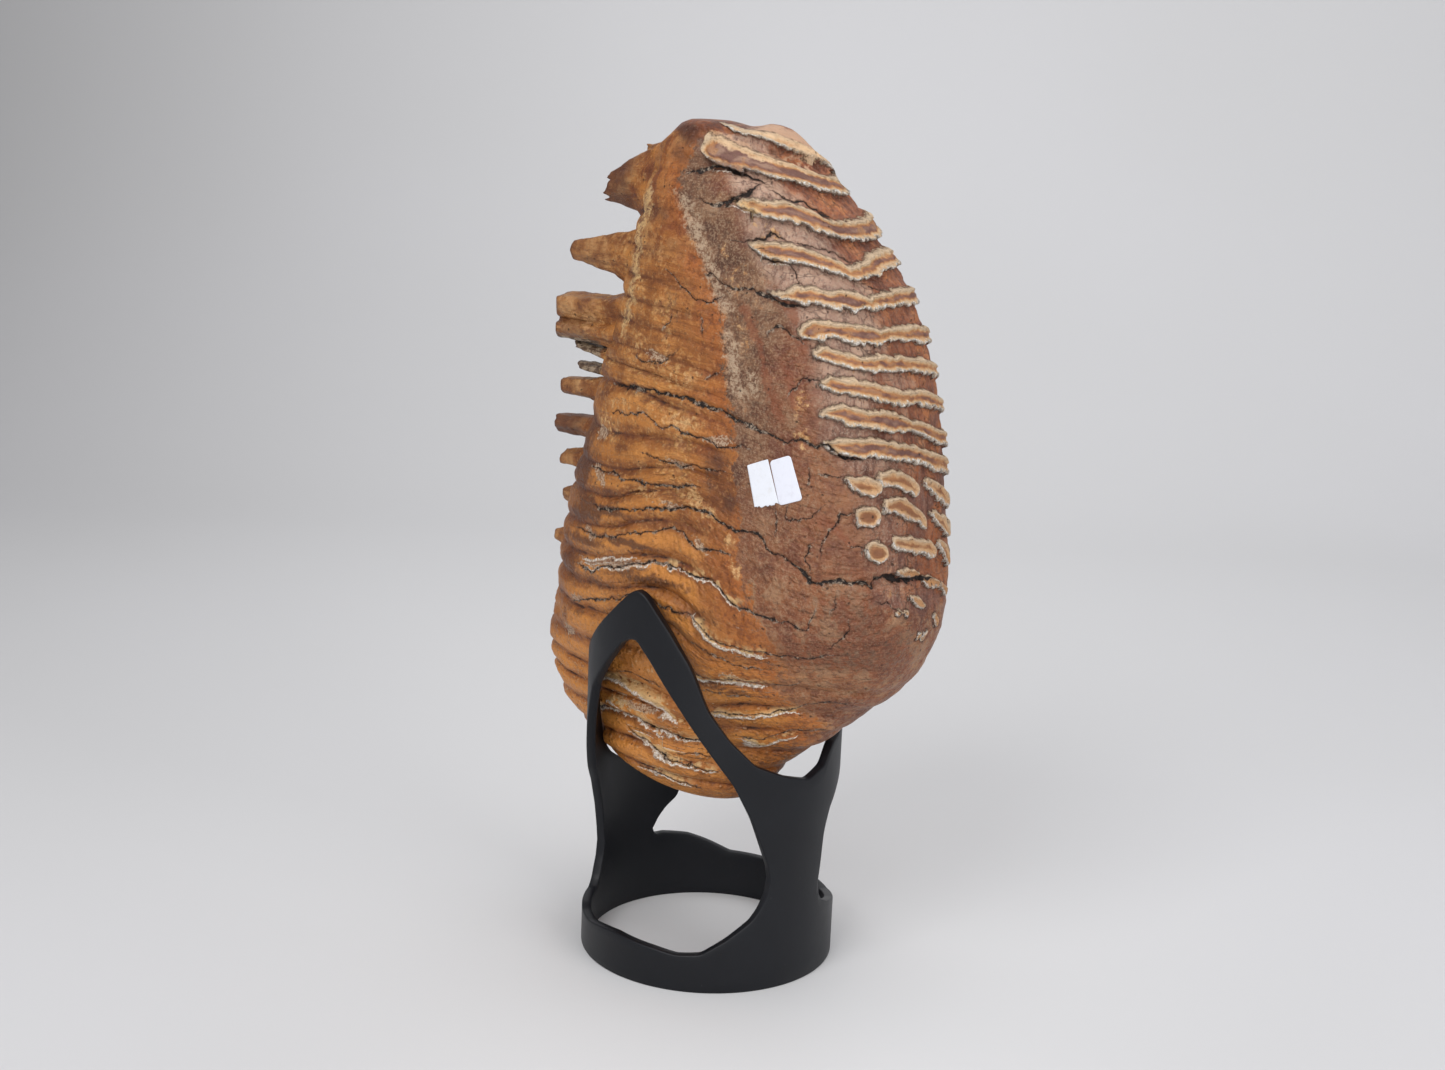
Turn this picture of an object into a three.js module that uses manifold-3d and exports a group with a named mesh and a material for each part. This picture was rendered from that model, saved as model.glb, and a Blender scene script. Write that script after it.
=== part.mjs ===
// A woolly mammoth molar standing on its back end in a black stand cut from steel pipe.
// Millimetres, +Z up. X runs left to right across the front view and Y runs away from it.
// The pipe's axis is the working origin, and the finished group is moved so that the
// middle of the whole object's box, on the floor, is the origin.
import * as THREE from 'three';
import { mergeVertices } from 'three/addons/utils/BufferGeometryUtils.js';
import Module from 'manifold-3d';

const wasm = await Module();
wasm.setup();

// Stand: one length of 108 mm steel pipe with a 4 mm wall, cut to a wavy crown
const pipeRadius = 54;
const pipeWall = 4;
const columnStep = 5;

// Edges of the cut pipe as [angle, height]. The angle goes round the pipe in degrees from
// the front, towards the right.
const frontSill = [
  [-113, 35], [-110, 25], [-108, 20], [-104, 16.6], [-86, 17], [-81, 15], [-67, 15.6], [-54, 17.6],
  [-45, 18.6], [-24, 17], [-13, 15.6], [-2, 16.6], [9, 23], [20, 30.6], [24, 35.5], [27, 41.6], [28, 47.6],
];
const frontArch = [
  [-113, 35], [-112, 41], [-109, 53], [-103, 66], [-96, 74], [-87, 89], [-78, 105], [-71, 118],
  [-59, 130], [-46, 142.6], [-41, 145], [-37, 145], [-30, 138], [-17, 122], [-5, 106.8], [9, 89.7],
  [18, 74.5], [25, 58], [27, 53], [28, 47.6],
];
const rearSill = [
  [58, 40.6], [59, 35], [62, 31.4], [70, 27.8], [86, 23.5], [104, 20.4], [151, 20.2], [170, 20.6],
  [182, 25.4], [191, 28.4], [204, 30.2], [208, 29.9], [211, 33],
];
const rearArch = [
  [58, 40.6], [59, 45.8], [61, 61], [66, 70], [76, 77], [90, 85], [103, 96], [114, 109],
  [127, 129], [139, 145], [146, 142.6], [163, 122], [175, 107], [183, 98.4], [187, 88], [190, 76],
  [195, 56], [198, 47.3], [204, 42.5], [208, 38], [211, 33],
];
const crownEdge = [
  [-113, 79.5], [-110, 83], [-104, 94], [-98, 108], [-92, 121], [-86, 130], [-73, 139.4], [-54, 153.8],
  [-42, 163.7], [-38, 165.8], [-33, 164], [-22, 152], [-11, 137.5], [-3, 120], [7, 107.7], [19, 97],
  [34, 91], [47, 87.8], [59, 91.4], [66, 99], [74, 101], [84, 106], [96, 116], [108, 127],
  [120, 140], [131, 153], [138, 163], [143, 165.8], [149, 163], [158, 152], [169, 137.5],
  [177, 120], [187, 107.7], [197, 97], [207, 84], [215, 74], [224, 70], [234, 71], [243, 76],
  [247, 79.5],
];

// Molar: long sections stacked from the back end, at the bottom, to the front end, at the top.
// The chewing face looks right and forward, and the roots point left and back.
const faceTurn = THREE.MathUtils.degToRad(37);
const backEnd = 66;
const backCap = 92;
const frontCap = 338;
const frontEnd = 348.6;
const capPower = 2.6;
// Each section is [height, root side, chewing side, half thickness, squareness at the root
// side, squareness at the chewing side]. A squareness of 2 is an ellipse.
const sections = [
  [66, -55, 26, 24, 1.9, 1.9], [78, -58, 28, 25, 1.9, 1.9], [86, -63, 34, 26, 1.9, 1.9],
  [92, -70, 40, 25, 1.9, 1.9], [104, -81, 57, 28.5, 1.9, 1.9], [118, -87, 75, 32.5, 1.9, 2],
  [133, -88, 91, 39, 2, 2.3], [150, -82, 98, 45, 2.1, 2.8], [170, -77, 97.5, 48, 2.3, 3.3],
  [195, -71, 95, 49, 2.3, 3.3], [220, -63, 92, 48, 2.3, 3.3], [245, -57, 88, 46.5, 2.3, 3.3],
  [268, -49, 80, 45, 2.3, 3.3], [290, -43.5, 69.5, 42, 2.3, 3.3], [308, -38, 54, 40, 2.3, 3.3],
  [322, -35, 42, 37, 2.3, 3.3], [336, -32, 28, 31, 2.3, 3], [349, -31, 20, 27, 2.3, 3],
];
// The far side is flatter, and the whole tooth stands back from the pipe's axis
const farFlatness = 0.88;
const setBack = 3;

// Plates of enamel and dentine, from the front end down, by their heights on the near edge of
// the chewing face. The near side is the one seen from the front of the whole object.
const plates = [
  335, 318, 302, 290, 278.5, 267, 256, 245, 233.5, 221, 209, 196, 183, 172, 161, 150, 138, 126, 114,
  103, 93, 83, 74,
];
// Each plate rises and falls as it goes round. These are heights above its level, by angle
// round the section: 0 is the root side, 90 the near side and 180 the chewing face.
const driftAngles = [45, 90, 120, 150, 175, 195, 230, 270, 315];
const drifts = [
  [66, 0, 0, 0, 0, 0, 0, 0, 0, 0],
  [106, 2, 1, -2, 0, 0, 0, 0, 0, 1],
  [122, -1, -3, -6, 0, 1, 0, -2, -2, -1],
  [136, 2, 5, -4, 0, 1, 0, -2, 0, 1],
  [152, 3, 8, -4, 0, 1, 0, -3, 2, 3],
  [164, 5, 13, 4, 0, -1, -4, -4, 4, 4],
  [184, 8, 18, 11, 0, -3, -10, -8, 6, 8],
  [209, 7, 12, 8, 0, -4, -12, -10, 2, 7],
  [231, 14, 11, 6, 0, -6, -13, -12, -1, 9],
  [246, 8, 6, 3, 0, -6, -16, -14, -4, 3],
  [268, 5, 2, -1, 0, -6, -12, -13, -6, 1],
  [290, 2, 0, -4, 0, -7, -10, -9, -5, 0],
  [318, 2, 2, 2, 0, -7, -9, -8, -3, 0],
  [348, 0, 0, 0, 0, 0, 0, 0, 0, 0],
];

// Worn face: each plate stands up as a closed loop, with two enamel rims and a groove between
const faceStart = [
  [66, 205], [158, 200], [173, 163], [196, 160], [221, 154], [234, 146], [267, 143], [290, 132],
  [302, 124], [318, 120], [348, 112],
];
const rimRise = 1.3;
// The loops stand up more on the steep slope at the front end
const slopeRise = { from: 280, to: 325, more: 0.9 };
const grooveDepth = 0.2;
const cementDepth = 1.3;
const sideRidge = 0.7;
// The ridges along the sides stop short of the smooth band next to the worn face
const smoothBand = { from: 100, to: 118, above: 150 };
// Places of the rim, groove and cement rows as fractions of the way between two plates
const rowPlaces = [0, 0.26, 0.52, 0.76];
const faceAngleStep = 7;
const sideAngleStep = 10;

// Roots, broken short, from the front end down. height and side place the root on the root
// side, side being positive towards the near side. base and reach are how far its foot and its
// end lie from the tooth's middle plane, tall and thick are its size near the foot, end is
// the end's size over that, and lift is how far the end rises.
const roots = [
  { height: 326, side: 8, base: -33, reach: 57, tall: 30, thick: 17, end: 0.36, lift: -6 },
  { height: 317, side: -16, base: -33, reach: 50, tall: 20, thick: 14, end: 0.5, lift: -2 },
  { height: 291, side: 8, base: -42, reach: 79, tall: 17, thick: 16, end: 0.3, lift: -1 },
  { height: 286, side: -18, base: -42, reach: 62, tall: 16, thick: 14, end: 0.5, lift: 1 },
  { height: 269, side: 8, base: -48, reach: 83.5, tall: 14, thick: 17, end: 0.62, lift: -1 },
  { height: 260, side: 8, base: -50, reach: 83, tall: 10, thick: 16, end: 0.7, lift: -1 },
  { height: 250, side: 4, base: -52, reach: 73, tall: 5, thick: 15, end: 0.5, lift: 3 },
  { height: 257, side: -20, base: -48, reach: 67, tall: 16, thick: 14, end: 0.55, lift: 0 },
  { height: 236, side: 7, base: -57, reach: 80, tall: 11, thick: 13, end: 0.55, lift: 0 },
  { height: 231, side: -20, base: -54, reach: 72, tall: 12, thick: 12, end: 0.5, lift: 0 },
  { height: 219.5, side: 7, base: -61, reach: 82.5, tall: 9, thick: 12, end: 0.8, lift: 0 },
  { height: 211, side: -18, base: -59, reach: 76, tall: 10, thick: 11, end: 0.6, lift: 0 },
  { height: 205, side: 6, base: -66, reach: 81.5, tall: 7, thick: 10, end: 0.6, lift: 0 },
  { height: 184, side: 6, base: -71, reach: 81, tall: 8, thick: 9, end: 0.5, lift: 0 },
  { height: 167, side: 6, base: -75, reach: 83, tall: 9, thick: 9, end: 0.5, lift: 0 },
];
const rootSides = 8;
const rootFlare = 1.25;
const rootSunk = 12;

// Paper labels stuck on the near side
const labelThickness = 0.4;
const labelGap = 0.4;
const labelWidth = 8.8;
const labelHeight = 17.5;
const labelTilt = THREE.MathUtils.degToRad(21);
const cornerSteps = 2;
// Each label's middle, as an angle round the tooth and a height, and its corner radius
const squareLabel = { angle: 127.8, height: 215, corner: 0.2 };
const roundedLabel = { angle: 135.6, height: 217.8, corner: 1.4 };

// Value at x of the straight-line curve through [x, y] points
function along(points, x) {
  const last = points.length - 1;
  if (x <= points[0][0]) return points[0][1];
  if (x >= points[last][0]) return points[last][1];
  const next = points.findIndex((point) => point[0] >= x);
  const [x0, y0] = points[next - 1];
  const [x1, y1] = points[next];
  return y0 + ((y1 - y0) * (x - x0)) / (x1 - x0);
}

// Value at x of a smooth curve that passes through every point, from column `column` of rows
function smooth(rows, column, x) {
  const last = rows.length - 1;
  const spot = Math.min(Math.max(x, rows[0][0]), rows[last][0]);
  let k = 0;
  while (k < last - 1 && rows[k + 1][0] < spot) k += 1;
  const slope = (i) => (rows[i + 1][column] - rows[i][column]) / (rows[i + 1][0] - rows[i][0]);
  const tangent = (i) => {
    if (i === 0) return slope(0);
    if (i === last) return slope(last - 1);
    const before = rows[i][0] - rows[i - 1][0];
    const after = rows[i + 1][0] - rows[i][0];
    return (slope(i - 1) * after + slope(i) * before) / (before + after);
  };
  const width = rows[k + 1][0] - rows[k][0];
  const u = (spot - rows[k][0]) / width;
  const rise = (2 * u ** 3 - 3 * u ** 2 + 1) * rows[k][column] + (3 * u ** 2 - 2 * u ** 3) * rows[k + 1][column];
  return rise + width * ((u ** 3 - 2 * u ** 2 + u) * tangent(k) + (u ** 3 - u ** 2) * tangent(k + 1));
}

// Eased step from 0 at a to 1 at b
const ease = (a, b, x) => THREE.MathUtils.smoothstep((x - a) / (b - a), 0, 1);

// Mesh from vertices and triangles given as index triples
function meshFrom(name, vertices, triangles, material) {
  const geometry = new THREE.BufferGeometry();
  geometry.setAttribute('position', new THREE.Float32BufferAttribute(vertices.flat(), 3));
  geometry.setIndex(triangles.flat());
  const mesh = new THREE.Mesh(geometry, material);
  mesh.name = name;
  return mesh;
}

// The pipe's wall as one closed sheet: an outer and an inner skin over the same columns. Each
// column has four levels: the foot, the window's sill, its arch and the crown. Between the
// windows the sill and the arch meet in one seam, so the skin runs through.
function makeStand(material) {
  const turns = new Set();
  for (const edge of [frontSill, frontArch, rearSill, rearArch, crownEdge]) {
    edge.forEach(([angle]) => turns.add(((angle + 113) % 360) - 113));
  }
  for (let angle = -113; angle < 247; angle += columnStep) {
    const close = [...turns].some((other) => Math.abs(other - angle) < columnStep * 0.7);
    if (!close) turns.add(angle);
  }
  const angles = [...turns].sort((a, b) => a - b);
  const seams = [[28, 47.6], [58, 40.6], [211, 33], [247, 35]];
  const inWindow = (angle) => angle < 28 || (angle > 58 && angle < 211);
  const vertices = [];
  const columns = angles.map((angle) => {
    const front = angle < 28;
    const open = inWindow(angle) && angle > -113;
    const seam = angle === -113 ? 35 : along(seams, angle);
    const sill = open ? along(front ? frontSill : rearSill, angle) : seam;
    const arch = open ? along(front ? frontArch : rearArch, angle) : seam;
    const levels = [0, sill, arch, along(crownEdge, angle)];
    const skin = (radius) => levels.map((z, level) => {
      if (level === 2 && !open) return vertices.length - 1;
      const turn = THREE.MathUtils.degToRad(angle);
      vertices.push([radius * Math.sin(turn), -radius * Math.cos(turn), z]);
      return vertices.length - 1;
    });
    return { outer: skin(pipeRadius), inner: skin(pipeRadius - pipeWall) };
  });
  const triangles = [];
  const quad = (a, b, c, d) => {
    if (a !== b && b !== c && a !== c) triangles.push([a, b, c]);
    if (a !== c && c !== d && a !== d) triangles.push([a, c, d]);
  };
  columns.forEach(({ outer, inner }, i) => {
    const next = columns[(i + 1) % columns.length];
    for (const [low, high] of [[0, 1], [2, 3]]) {
      quad(outer[low], next.outer[low], next.outer[high], outer[high]);
      quad(inner[low], inner[high], next.inner[high], next.inner[low]);
    }
    quad(outer[0], inner[0], next.inner[0], next.outer[0]);
    quad(outer[3], next.outer[3], next.inner[3], inner[3]);
    const open = outer[1] !== outer[2] || next.outer[1] !== next.outer[2];
    if (open) {
      quad(outer[1], next.outer[1], next.inner[1], inner[1]);
      quad(outer[2], inner[2], next.inner[2], next.outer[2]);
    }
  });
  return meshFrom('stand', vertices, triangles, material);
}

// A place given by its distance towards the chewing face and towards the near side
function fromAxis(chew, side, z) {
  const x = chew * Math.cos(faceTurn) - side * Math.sin(faceTurn);
  const y = -chew * Math.sin(faceTurn) - side * Math.cos(faceTurn);
  return [x, y, z];
}

// Point of the molar's skin at a height and an angle round it, raised by `rise`. The section
// is a superellipse, and it shrinks to a point in a quarter ellipse at both ends.
function skinPoint(z, angle, rise) {
  const turn = THREE.MathUtils.degToRad(angle);
  const cap = (part) => Math.max(1 - Math.max(part, 0) ** capPower, 0) ** (1 / capPower);
  const shrink = cap((backCap - z) / (backCap - backEnd)) * cap((z - frontCap) / (frontEnd - frontCap));
  const near = smooth(sections, 1, z) * shrink;
  const far = smooth(sections, 2, z) * shrink;
  const flatness = Math.sin(turn) < 0 ? farFlatness : 1;
  const half = smooth(sections, 3, z) * shrink * flatness + 1e-6;
  const long = (far - near) / 2 + 1e-6;
  const blend = THREE.MathUtils.clamp(0.5 - 0.75 * Math.cos(turn), 0, 1);
  const power = THREE.MathUtils.lerp(smooth(sections, 4, z), smooth(sections, 5, z), blend);
  const across = Math.abs(Math.cos(turn) / long) ** power + Math.abs(Math.sin(turn) / half) ** power;
  const radius = across ** (-1 / power) + rise * shrink;
  return fromAxis((near + far) / 2 - radius * Math.cos(turn), radius * Math.sin(turn) - setBack, z);
}

// Drift of a plate of a given level at an angle, smooth both ways and closed round the section
function driftAt(level, angle) {
  const first = driftAngles[0];
  const round = ((((angle - first) % 360) + 360) % 360) + first;
  const values = driftAngles.map((at, i) => [at, smooth(drifts, i + 1, level)]);
  const [before, after] = [values[values.length - 1], values[0]];
  const closed = [[before[0] - 360, before[1]], ...values, [after[0] + 360, after[1]], [values[1][0] + 360, values[1][1]]];
  return smooth(closed, 1, round);
}

// How far a point lies inside the worn face, from 0 outside to 1 inside
function wornAt(level, angle) {
  const start = along(faceStart, level);
  return ease(start - 5, start + 5, angle) * (1 - ease(352 - start, 362 - start, angle));
}

// Strength of the side ridges, from 0 to 1
function ridgeAt(level, angle) {
  const fromRoot = Math.abs(((angle + 180) % 360) - 180);
  const band = ease(smoothBand.from, smoothBand.to, fromRoot);
  return 1 - band * ease(smoothBand.above - 10, smoothBand.above + 10, level);
}

// The molar's skin as rows that follow the plates, closed by a point at each end
function makeMolarSkin() {
  const levels = [];
  plates.slice(0, -1).forEach((level, i) => {
    const step = level - plates[i + 1];
    const places = level > 158 ? rowPlaces : [0, 0.5];
    places.forEach((place) => levels.push([level - step * place, place]));
  });
  levels.push([plates[plates.length - 1], 0], [69, 0.5]);
  levels.unshift([341, 0.76], [346, 0.5]);
  levels.sort((a, b) => b[0] - a[0]);
  const angles = [];
  for (let angle = -56; angle < 304;) {
    angles.push(angle);
    const onFace = angle > 108 && angle < 242;
    angle += onFace ? faceAngleStep : sideAngleStep;
  }
  const vertices = [fromAxis(-6, -setBack, frontEnd)];
  for (const [level, place] of levels) {
    for (const angle of angles) {
      const worn = wornAt(level, angle);
      const wave = Math.cos(2 * Math.PI * place);
      const faceRise = place === 0 ? -grooveDepth : (Math.abs(place - 0.5) < 0.1 ? -cementDepth : rimRise);
      const fade = ease(66, 80, level) * (1 - ease(338, 347, level));
      const steep = 1 + slopeRise.more * ease(slopeRise.from, slopeRise.to, level);
      const sideRise = sideRidge * ridgeAt(level, angle) * wave;
      const rise = (worn * faceRise * steep + (1 - worn) * sideRise) * fade;
      vertices.push(skinPoint(level + driftAt(level, angle), angle, rise));
    }
  }
  vertices.push(fromAxis(-9, -setBack, backEnd));
  const triangles = [];
  const count = angles.length;
  const end = vertices.length - 1;
  for (let j = 0; j < count; j += 1) {
    const next = (j + 1) % count;
    triangles.push([0, 1 + j, 1 + next]);
    for (let i = 0; i < levels.length - 1; i += 1) {
      const [a, b] = [1 + i * count + j, 1 + i * count + next];
      triangles.push([a, a + count, b + count], [a, b + count, b]);
    }
    const low = 1 + (levels.length - 1) * count;
    triangles.push([end, low + next, low + j]);
  }
  return { vertices, triangles };
}

// A root: flat-oval rings from inside the tooth out to a broken end, widest where it leaves
function makeRoot({ height, side, base, reach, tall, thick, end, lift }) {
  const vertices = [];
  const stations = [[-rootSunk, rootFlare], [0, rootFlare], [0.25, 1], [0.9, (1 + 2 * end) / 3], [1, end]];
  const length = reach + base;
  for (const [station, scale] of stations) {
    const out = station < 0 ? station : station * length;
    const rise = station < 0 ? 0 : station * lift;
    for (let j = 0; j < rootSides; j += 1) {
      const turn = ((j + 0.5) / rootSides) * 2 * Math.PI;
      const across = side + (thick / 2) * scale * Math.cos(turn);
      const up = height + rise + (tall / 2) * scale * Math.sin(turn);
      vertices.push(fromAxis(base - out, across, up));
    }
  }
  const triangles = [];
  const first = vertices.push(fromAxis(base + rootSunk, side, height)) - 1;
  const tip = vertices.push(fromAxis(-reach - 0.5, side, height + lift)) - 1;
  for (let j = 0; j < rootSides; j += 1) {
    const next = (j + 1) % rootSides;
    triangles.push([first, next, j]);
    for (let i = 0; i < stations.length - 1; i += 1) {
      const [a, b] = [i * rootSides + j, i * rootSides + next];
      triangles.push([a, b, b + rootSides], [a, b + rootSides, a + rootSides]);
    }
    const top = (stations.length - 1) * rootSides;
    triangles.push([tip, top + j, top + next]);
  }
  return { vertices, triangles };
}

// Closed solid for joining, turned right side out if its triangles face inwards
function solidFrom({ vertices, triangles }) {
  let volume = 0;
  for (const [a, b, c] of triangles) {
    const corners = [a, b, c].map((i) => new THREE.Vector3(...vertices[i]));
    volume += corners[0].dot(corners[1].clone().cross(corners[2]));
  }
  const facing = volume < 0 ? triangles.map(([a, b, c]) => [a, c, b]) : triangles;
  const vertProperties = new Float32Array(vertices.flat());
  const triVerts = new Uint32Array(facing.flat());
  return new wasm.Manifold(new wasm.Mesh({ numProp: 3, vertProperties, triVerts }));
}

// The molar: its skin with every root joined to it
function makeMolar(material) {
  let solid = solidFrom(makeMolarSkin());
  for (const root of roots) solid = solid.add(solidFrom(makeRoot(root)));
  const { vertProperties, triVerts } = solid.getMesh();
  const raw = new THREE.BufferGeometry();
  raw.setAttribute('position', new THREE.BufferAttribute(vertProperties, 3));
  raw.setIndex(new THREE.BufferAttribute(triVerts, 1));
  const mesh = new THREE.Mesh(mergeVertices(raw, 1e-4), material);
  mesh.name = 'molar';
  return mesh;
}

// A paper label: a thin sheet that follows the tooth's side, a little clear of it
function makeLabel(name, { angle, height, corner }, material) {
  const middle = new THREE.Vector3(...skinPoint(height, angle, 0));
  const perDegree = middle.distanceTo(new THREE.Vector3(...skinPoint(height, angle + 1, 0)));
  const [w, h] = [labelWidth / 2 - corner, labelHeight / 2 - corner];
  const outline = [];
  [[w, h, 0], [-w, h, 90], [-w, -h, 180], [w, -h, 270]].forEach(([x, y, start]) => {
    for (let i = 0; i <= cornerSteps; i += 1) {
      const turn = THREE.MathUtils.degToRad(start + (90 * i) / cornerSteps);
      outline.push([x + corner * Math.cos(turn), y + corner * Math.sin(turn)]);
    }
  });
  outline.push([0, 0]);
  const place = (rise) => outline.map(([x, y]) => {
    const across = x * Math.cos(labelTilt) - y * Math.sin(labelTilt);
    const up = x * Math.sin(labelTilt) + y * Math.cos(labelTilt);
    return skinPoint(height + up, angle + across / perDegree, rise);
  });
  const vertices = [...place(labelGap), ...place(labelGap + labelThickness)];
  const count = outline.length - 1;
  const triangles = [];
  for (let i = 0; i < count; i += 1) {
    const next = (i + 1) % count;
    const [back, front] = [count, 2 * count + 1];
    triangles.push([back, next, i], [front, count + 1 + i, count + 1 + next]);
    triangles.push([i, next, count + 1 + next], [i, count + 1 + next, count + 1 + i]);
  }
  return meshFrom(name, vertices, triangles, material);
}

const paint = new THREE.MeshStandardMaterial({ color: 0x1b1b1e, roughness: 0.42, metalness: 0.1 });
const tooth = new THREE.MeshStandardMaterial({ color: 0x96623c, roughness: 0.6, metalness: 0 });
const paperA = new THREE.MeshStandardMaterial({ color: 0xe2e4e8, roughness: 0.7, metalness: 0 });
const paperB = paperA.clone();

const group = new THREE.Group();
group.add(makeStand(paint), makeMolar(tooth));
group.add(makeLabel('label_square', squareLabel, paperA), makeLabel('label_rounded', roundedLabel, paperB));
const box = new THREE.Box3().setFromObject(group);
group.position.set(-(box.min.x + box.max.x) / 2, -(box.min.y + box.max.y) / 2, -box.min.z);

export default group;
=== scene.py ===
import math
from functools import reduce
import bpy
import numpy as np
from mathutils import Matrix, Vector


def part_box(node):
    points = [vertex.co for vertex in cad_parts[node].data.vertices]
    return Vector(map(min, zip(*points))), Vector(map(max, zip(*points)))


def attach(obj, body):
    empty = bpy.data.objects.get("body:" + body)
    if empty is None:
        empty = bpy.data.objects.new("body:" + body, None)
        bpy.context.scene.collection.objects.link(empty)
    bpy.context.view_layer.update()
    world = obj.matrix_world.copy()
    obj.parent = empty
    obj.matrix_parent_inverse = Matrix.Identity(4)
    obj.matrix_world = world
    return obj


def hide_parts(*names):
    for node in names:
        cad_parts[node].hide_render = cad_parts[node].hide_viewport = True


# Millimetres round the pipe's axis everywhere, turned into metres as each mesh is made
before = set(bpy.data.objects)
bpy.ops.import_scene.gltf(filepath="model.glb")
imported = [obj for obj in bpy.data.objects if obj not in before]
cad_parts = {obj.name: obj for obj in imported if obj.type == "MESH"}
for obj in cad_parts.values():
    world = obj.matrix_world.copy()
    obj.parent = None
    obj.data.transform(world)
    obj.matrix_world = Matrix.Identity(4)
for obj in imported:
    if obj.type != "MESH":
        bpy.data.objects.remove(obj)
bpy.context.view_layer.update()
standLow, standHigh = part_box("stand")
toothLow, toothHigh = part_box("molar")
axisX, axisY = (standLow.x + standHigh.x) / 2, (standLow.y + standHigh.y) / 2
print("frame loaded, pipe axis at", round(axisX * 1000, 2), round(axisY * 1000, 2))


# Colour given as screen values 0..255, changed to the linear values that Blender wants
def colour(red, green, blue):
    screen = np.array([red, green, blue]) / 255
    linear = np.where(screen <= 0.04045, screen / 12.92, ((screen + 0.055) / 1.055) ** 2.4)
    return (*[float(value) for value in linear], 1.0)


# Mesh object from a vertex array in millimetres and an array of quads, a triangle being a
# quad with its last corner given twice
def makePiece(name, points, quads, material, smooth=True):
    mesh = bpy.data.meshes.new(name)
    places = (points + np.array([axisX, axisY, 0]) * 1000) / 1000
    isTriangle = quads[:, 2] == quads[:, 3]
    counts = np.where(isTriangle, 3, 4)
    corners = quads[np.arange(4)[None, :] < counts[:, None]]
    mesh.vertices.add(len(places))
    mesh.vertices.foreach_set("co", places.astype(np.float32).ravel())
    mesh.loops.add(len(corners))
    mesh.loops.foreach_set("vertex_index", corners.astype(np.int32))
    mesh.polygons.add(len(quads))
    starts = np.concatenate([[0], np.cumsum(counts)[:-1]])
    mesh.polygons.foreach_set("loop_start", starts.astype(np.int32))
    mesh.polygons.foreach_set("use_smooth", np.full(len(quads), smooth))
    mesh.update(calc_edges=True)
    mesh.validate()
    piece = bpy.data.objects.new(name, mesh)
    bpy.context.scene.collection.objects.link(piece)
    mesh.materials.append(material)
    return piece


# Writes one number or one vector per vertex as an attribute that the material reads
def setAttribute(piece, name, values):
    isVector = values.ndim == 2
    attribute = piece.data.attributes.new(name, "FLOAT_VECTOR" if isVector else "FLOAT", "POINT")
    attribute.data.foreach_set("vector" if isVector else "value", values.astype(np.float32).ravel())


# Quads of a grid of rows and columns whose last column joins the first, numbered from start
def ringQuads(rows, columns, start=0):
    row, column = np.meshgrid(np.arange(rows - 1), np.arange(columns), indexing="ij")
    beside = (column + 1) % columns
    low = start + row * columns
    quads = np.stack([low + column, low + beside, low + columns + beside, low + columns + column], -1)
    return quads.reshape(-1, 4)


# Quads of an open grid, turned over by flip
def gridQuads(rows, columns, flip=False):
    row, column = np.meshgrid(np.arange(rows - 1), np.arange(columns - 1), indexing="ij")
    low = row * columns + column
    ends = (low + columns, low + 1) if flip else (low + 1, low + columns)
    return np.stack([low, ends[0], low + columns + 1, ends[1]], -1).reshape(-1, 4)


# Fan of triangles from one point to a ring, the ring running from first
def fanQuads(point, first, columns, flip):
    here = first + np.arange(columns)
    beside = first + (np.arange(columns) + 1) % columns
    ends = (beside, here) if flip else (here, beside)
    return np.stack([np.full(columns, point), ends[0], ends[1], ends[1]], -1)


# Smooth lattice noise from -1 to 1: random numbers at the corners of cubes of the given size,
# blended by the cube of the distance
def noise(points, size, seed):
    lattice = np.random.default_rng(seed).uniform(-1, 1, (32, 32, 32))
    place = points / size
    cell = np.floor(place).astype(int)
    part = place - cell
    part = part * part * (3 - 2 * part)
    total = np.zeros(len(points))
    for corner in range(8):
        step = np.array([corner & 1, corner >> 1 & 1, corner >> 2 & 1])
        weight = np.prod(np.where(step, part, 1 - part), axis=1)
        at = (cell + step) & 31
        total += weight * lattice[at[:, 0], at[:, 1], at[:, 2]]
    return total


# Eased step from 0 at a to 1 at b
def ease(a, b, x):
    part = np.clip((x - a) / (b - a), 0, 1)
    return part * part * (3 - 2 * part)


# Smooth curve through knots: cubic pieces whose slope at a knot is that of the parabola
# through it and its neighbours. values may hold a row of knots for every x.
def throughKnots(x, knots, values):
    values = np.asarray(values, float)
    if values.ndim == 1:
        values = np.broadcast_to(values, (len(x), len(knots)))
    x = np.clip(x, knots[0], knots[-1])
    widths = np.diff(knots)
    slopes = np.diff(values, axis=1) / widths
    middle = (slopes[:, :-1] * widths[1:] + slopes[:, 1:] * widths[:-1]) / (widths[:-1] + widths[1:])
    tangents = np.concatenate([slopes[:, :1], middle, slopes[:, -1:]], axis=1)
    k = np.clip(np.searchsorted(knots, x, side="right") - 1, 0, len(knots) - 2)
    line = np.arange(len(x))
    width = widths[k]
    u = (x - knots[k]) / width
    value = (2 * u**3 - 3 * u**2 + 1) * values[line, k] + (3 * u**2 - 2 * u**3) * values[line, k + 1]
    bend = (u**3 - 2 * u**2 + u) * tangents[line, k] + (u**3 - u**2) * tangents[line, k + 1]
    return value + width * bend


# The camera, from the photograph's vanishing lines: it looks 12.8 degrees down and is rolled 2.4
cameraPlan = {"lens": 50, "sensor": 36, "place": (0, -811, 364), "down": 12.795, "roll": 2.391}


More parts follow.
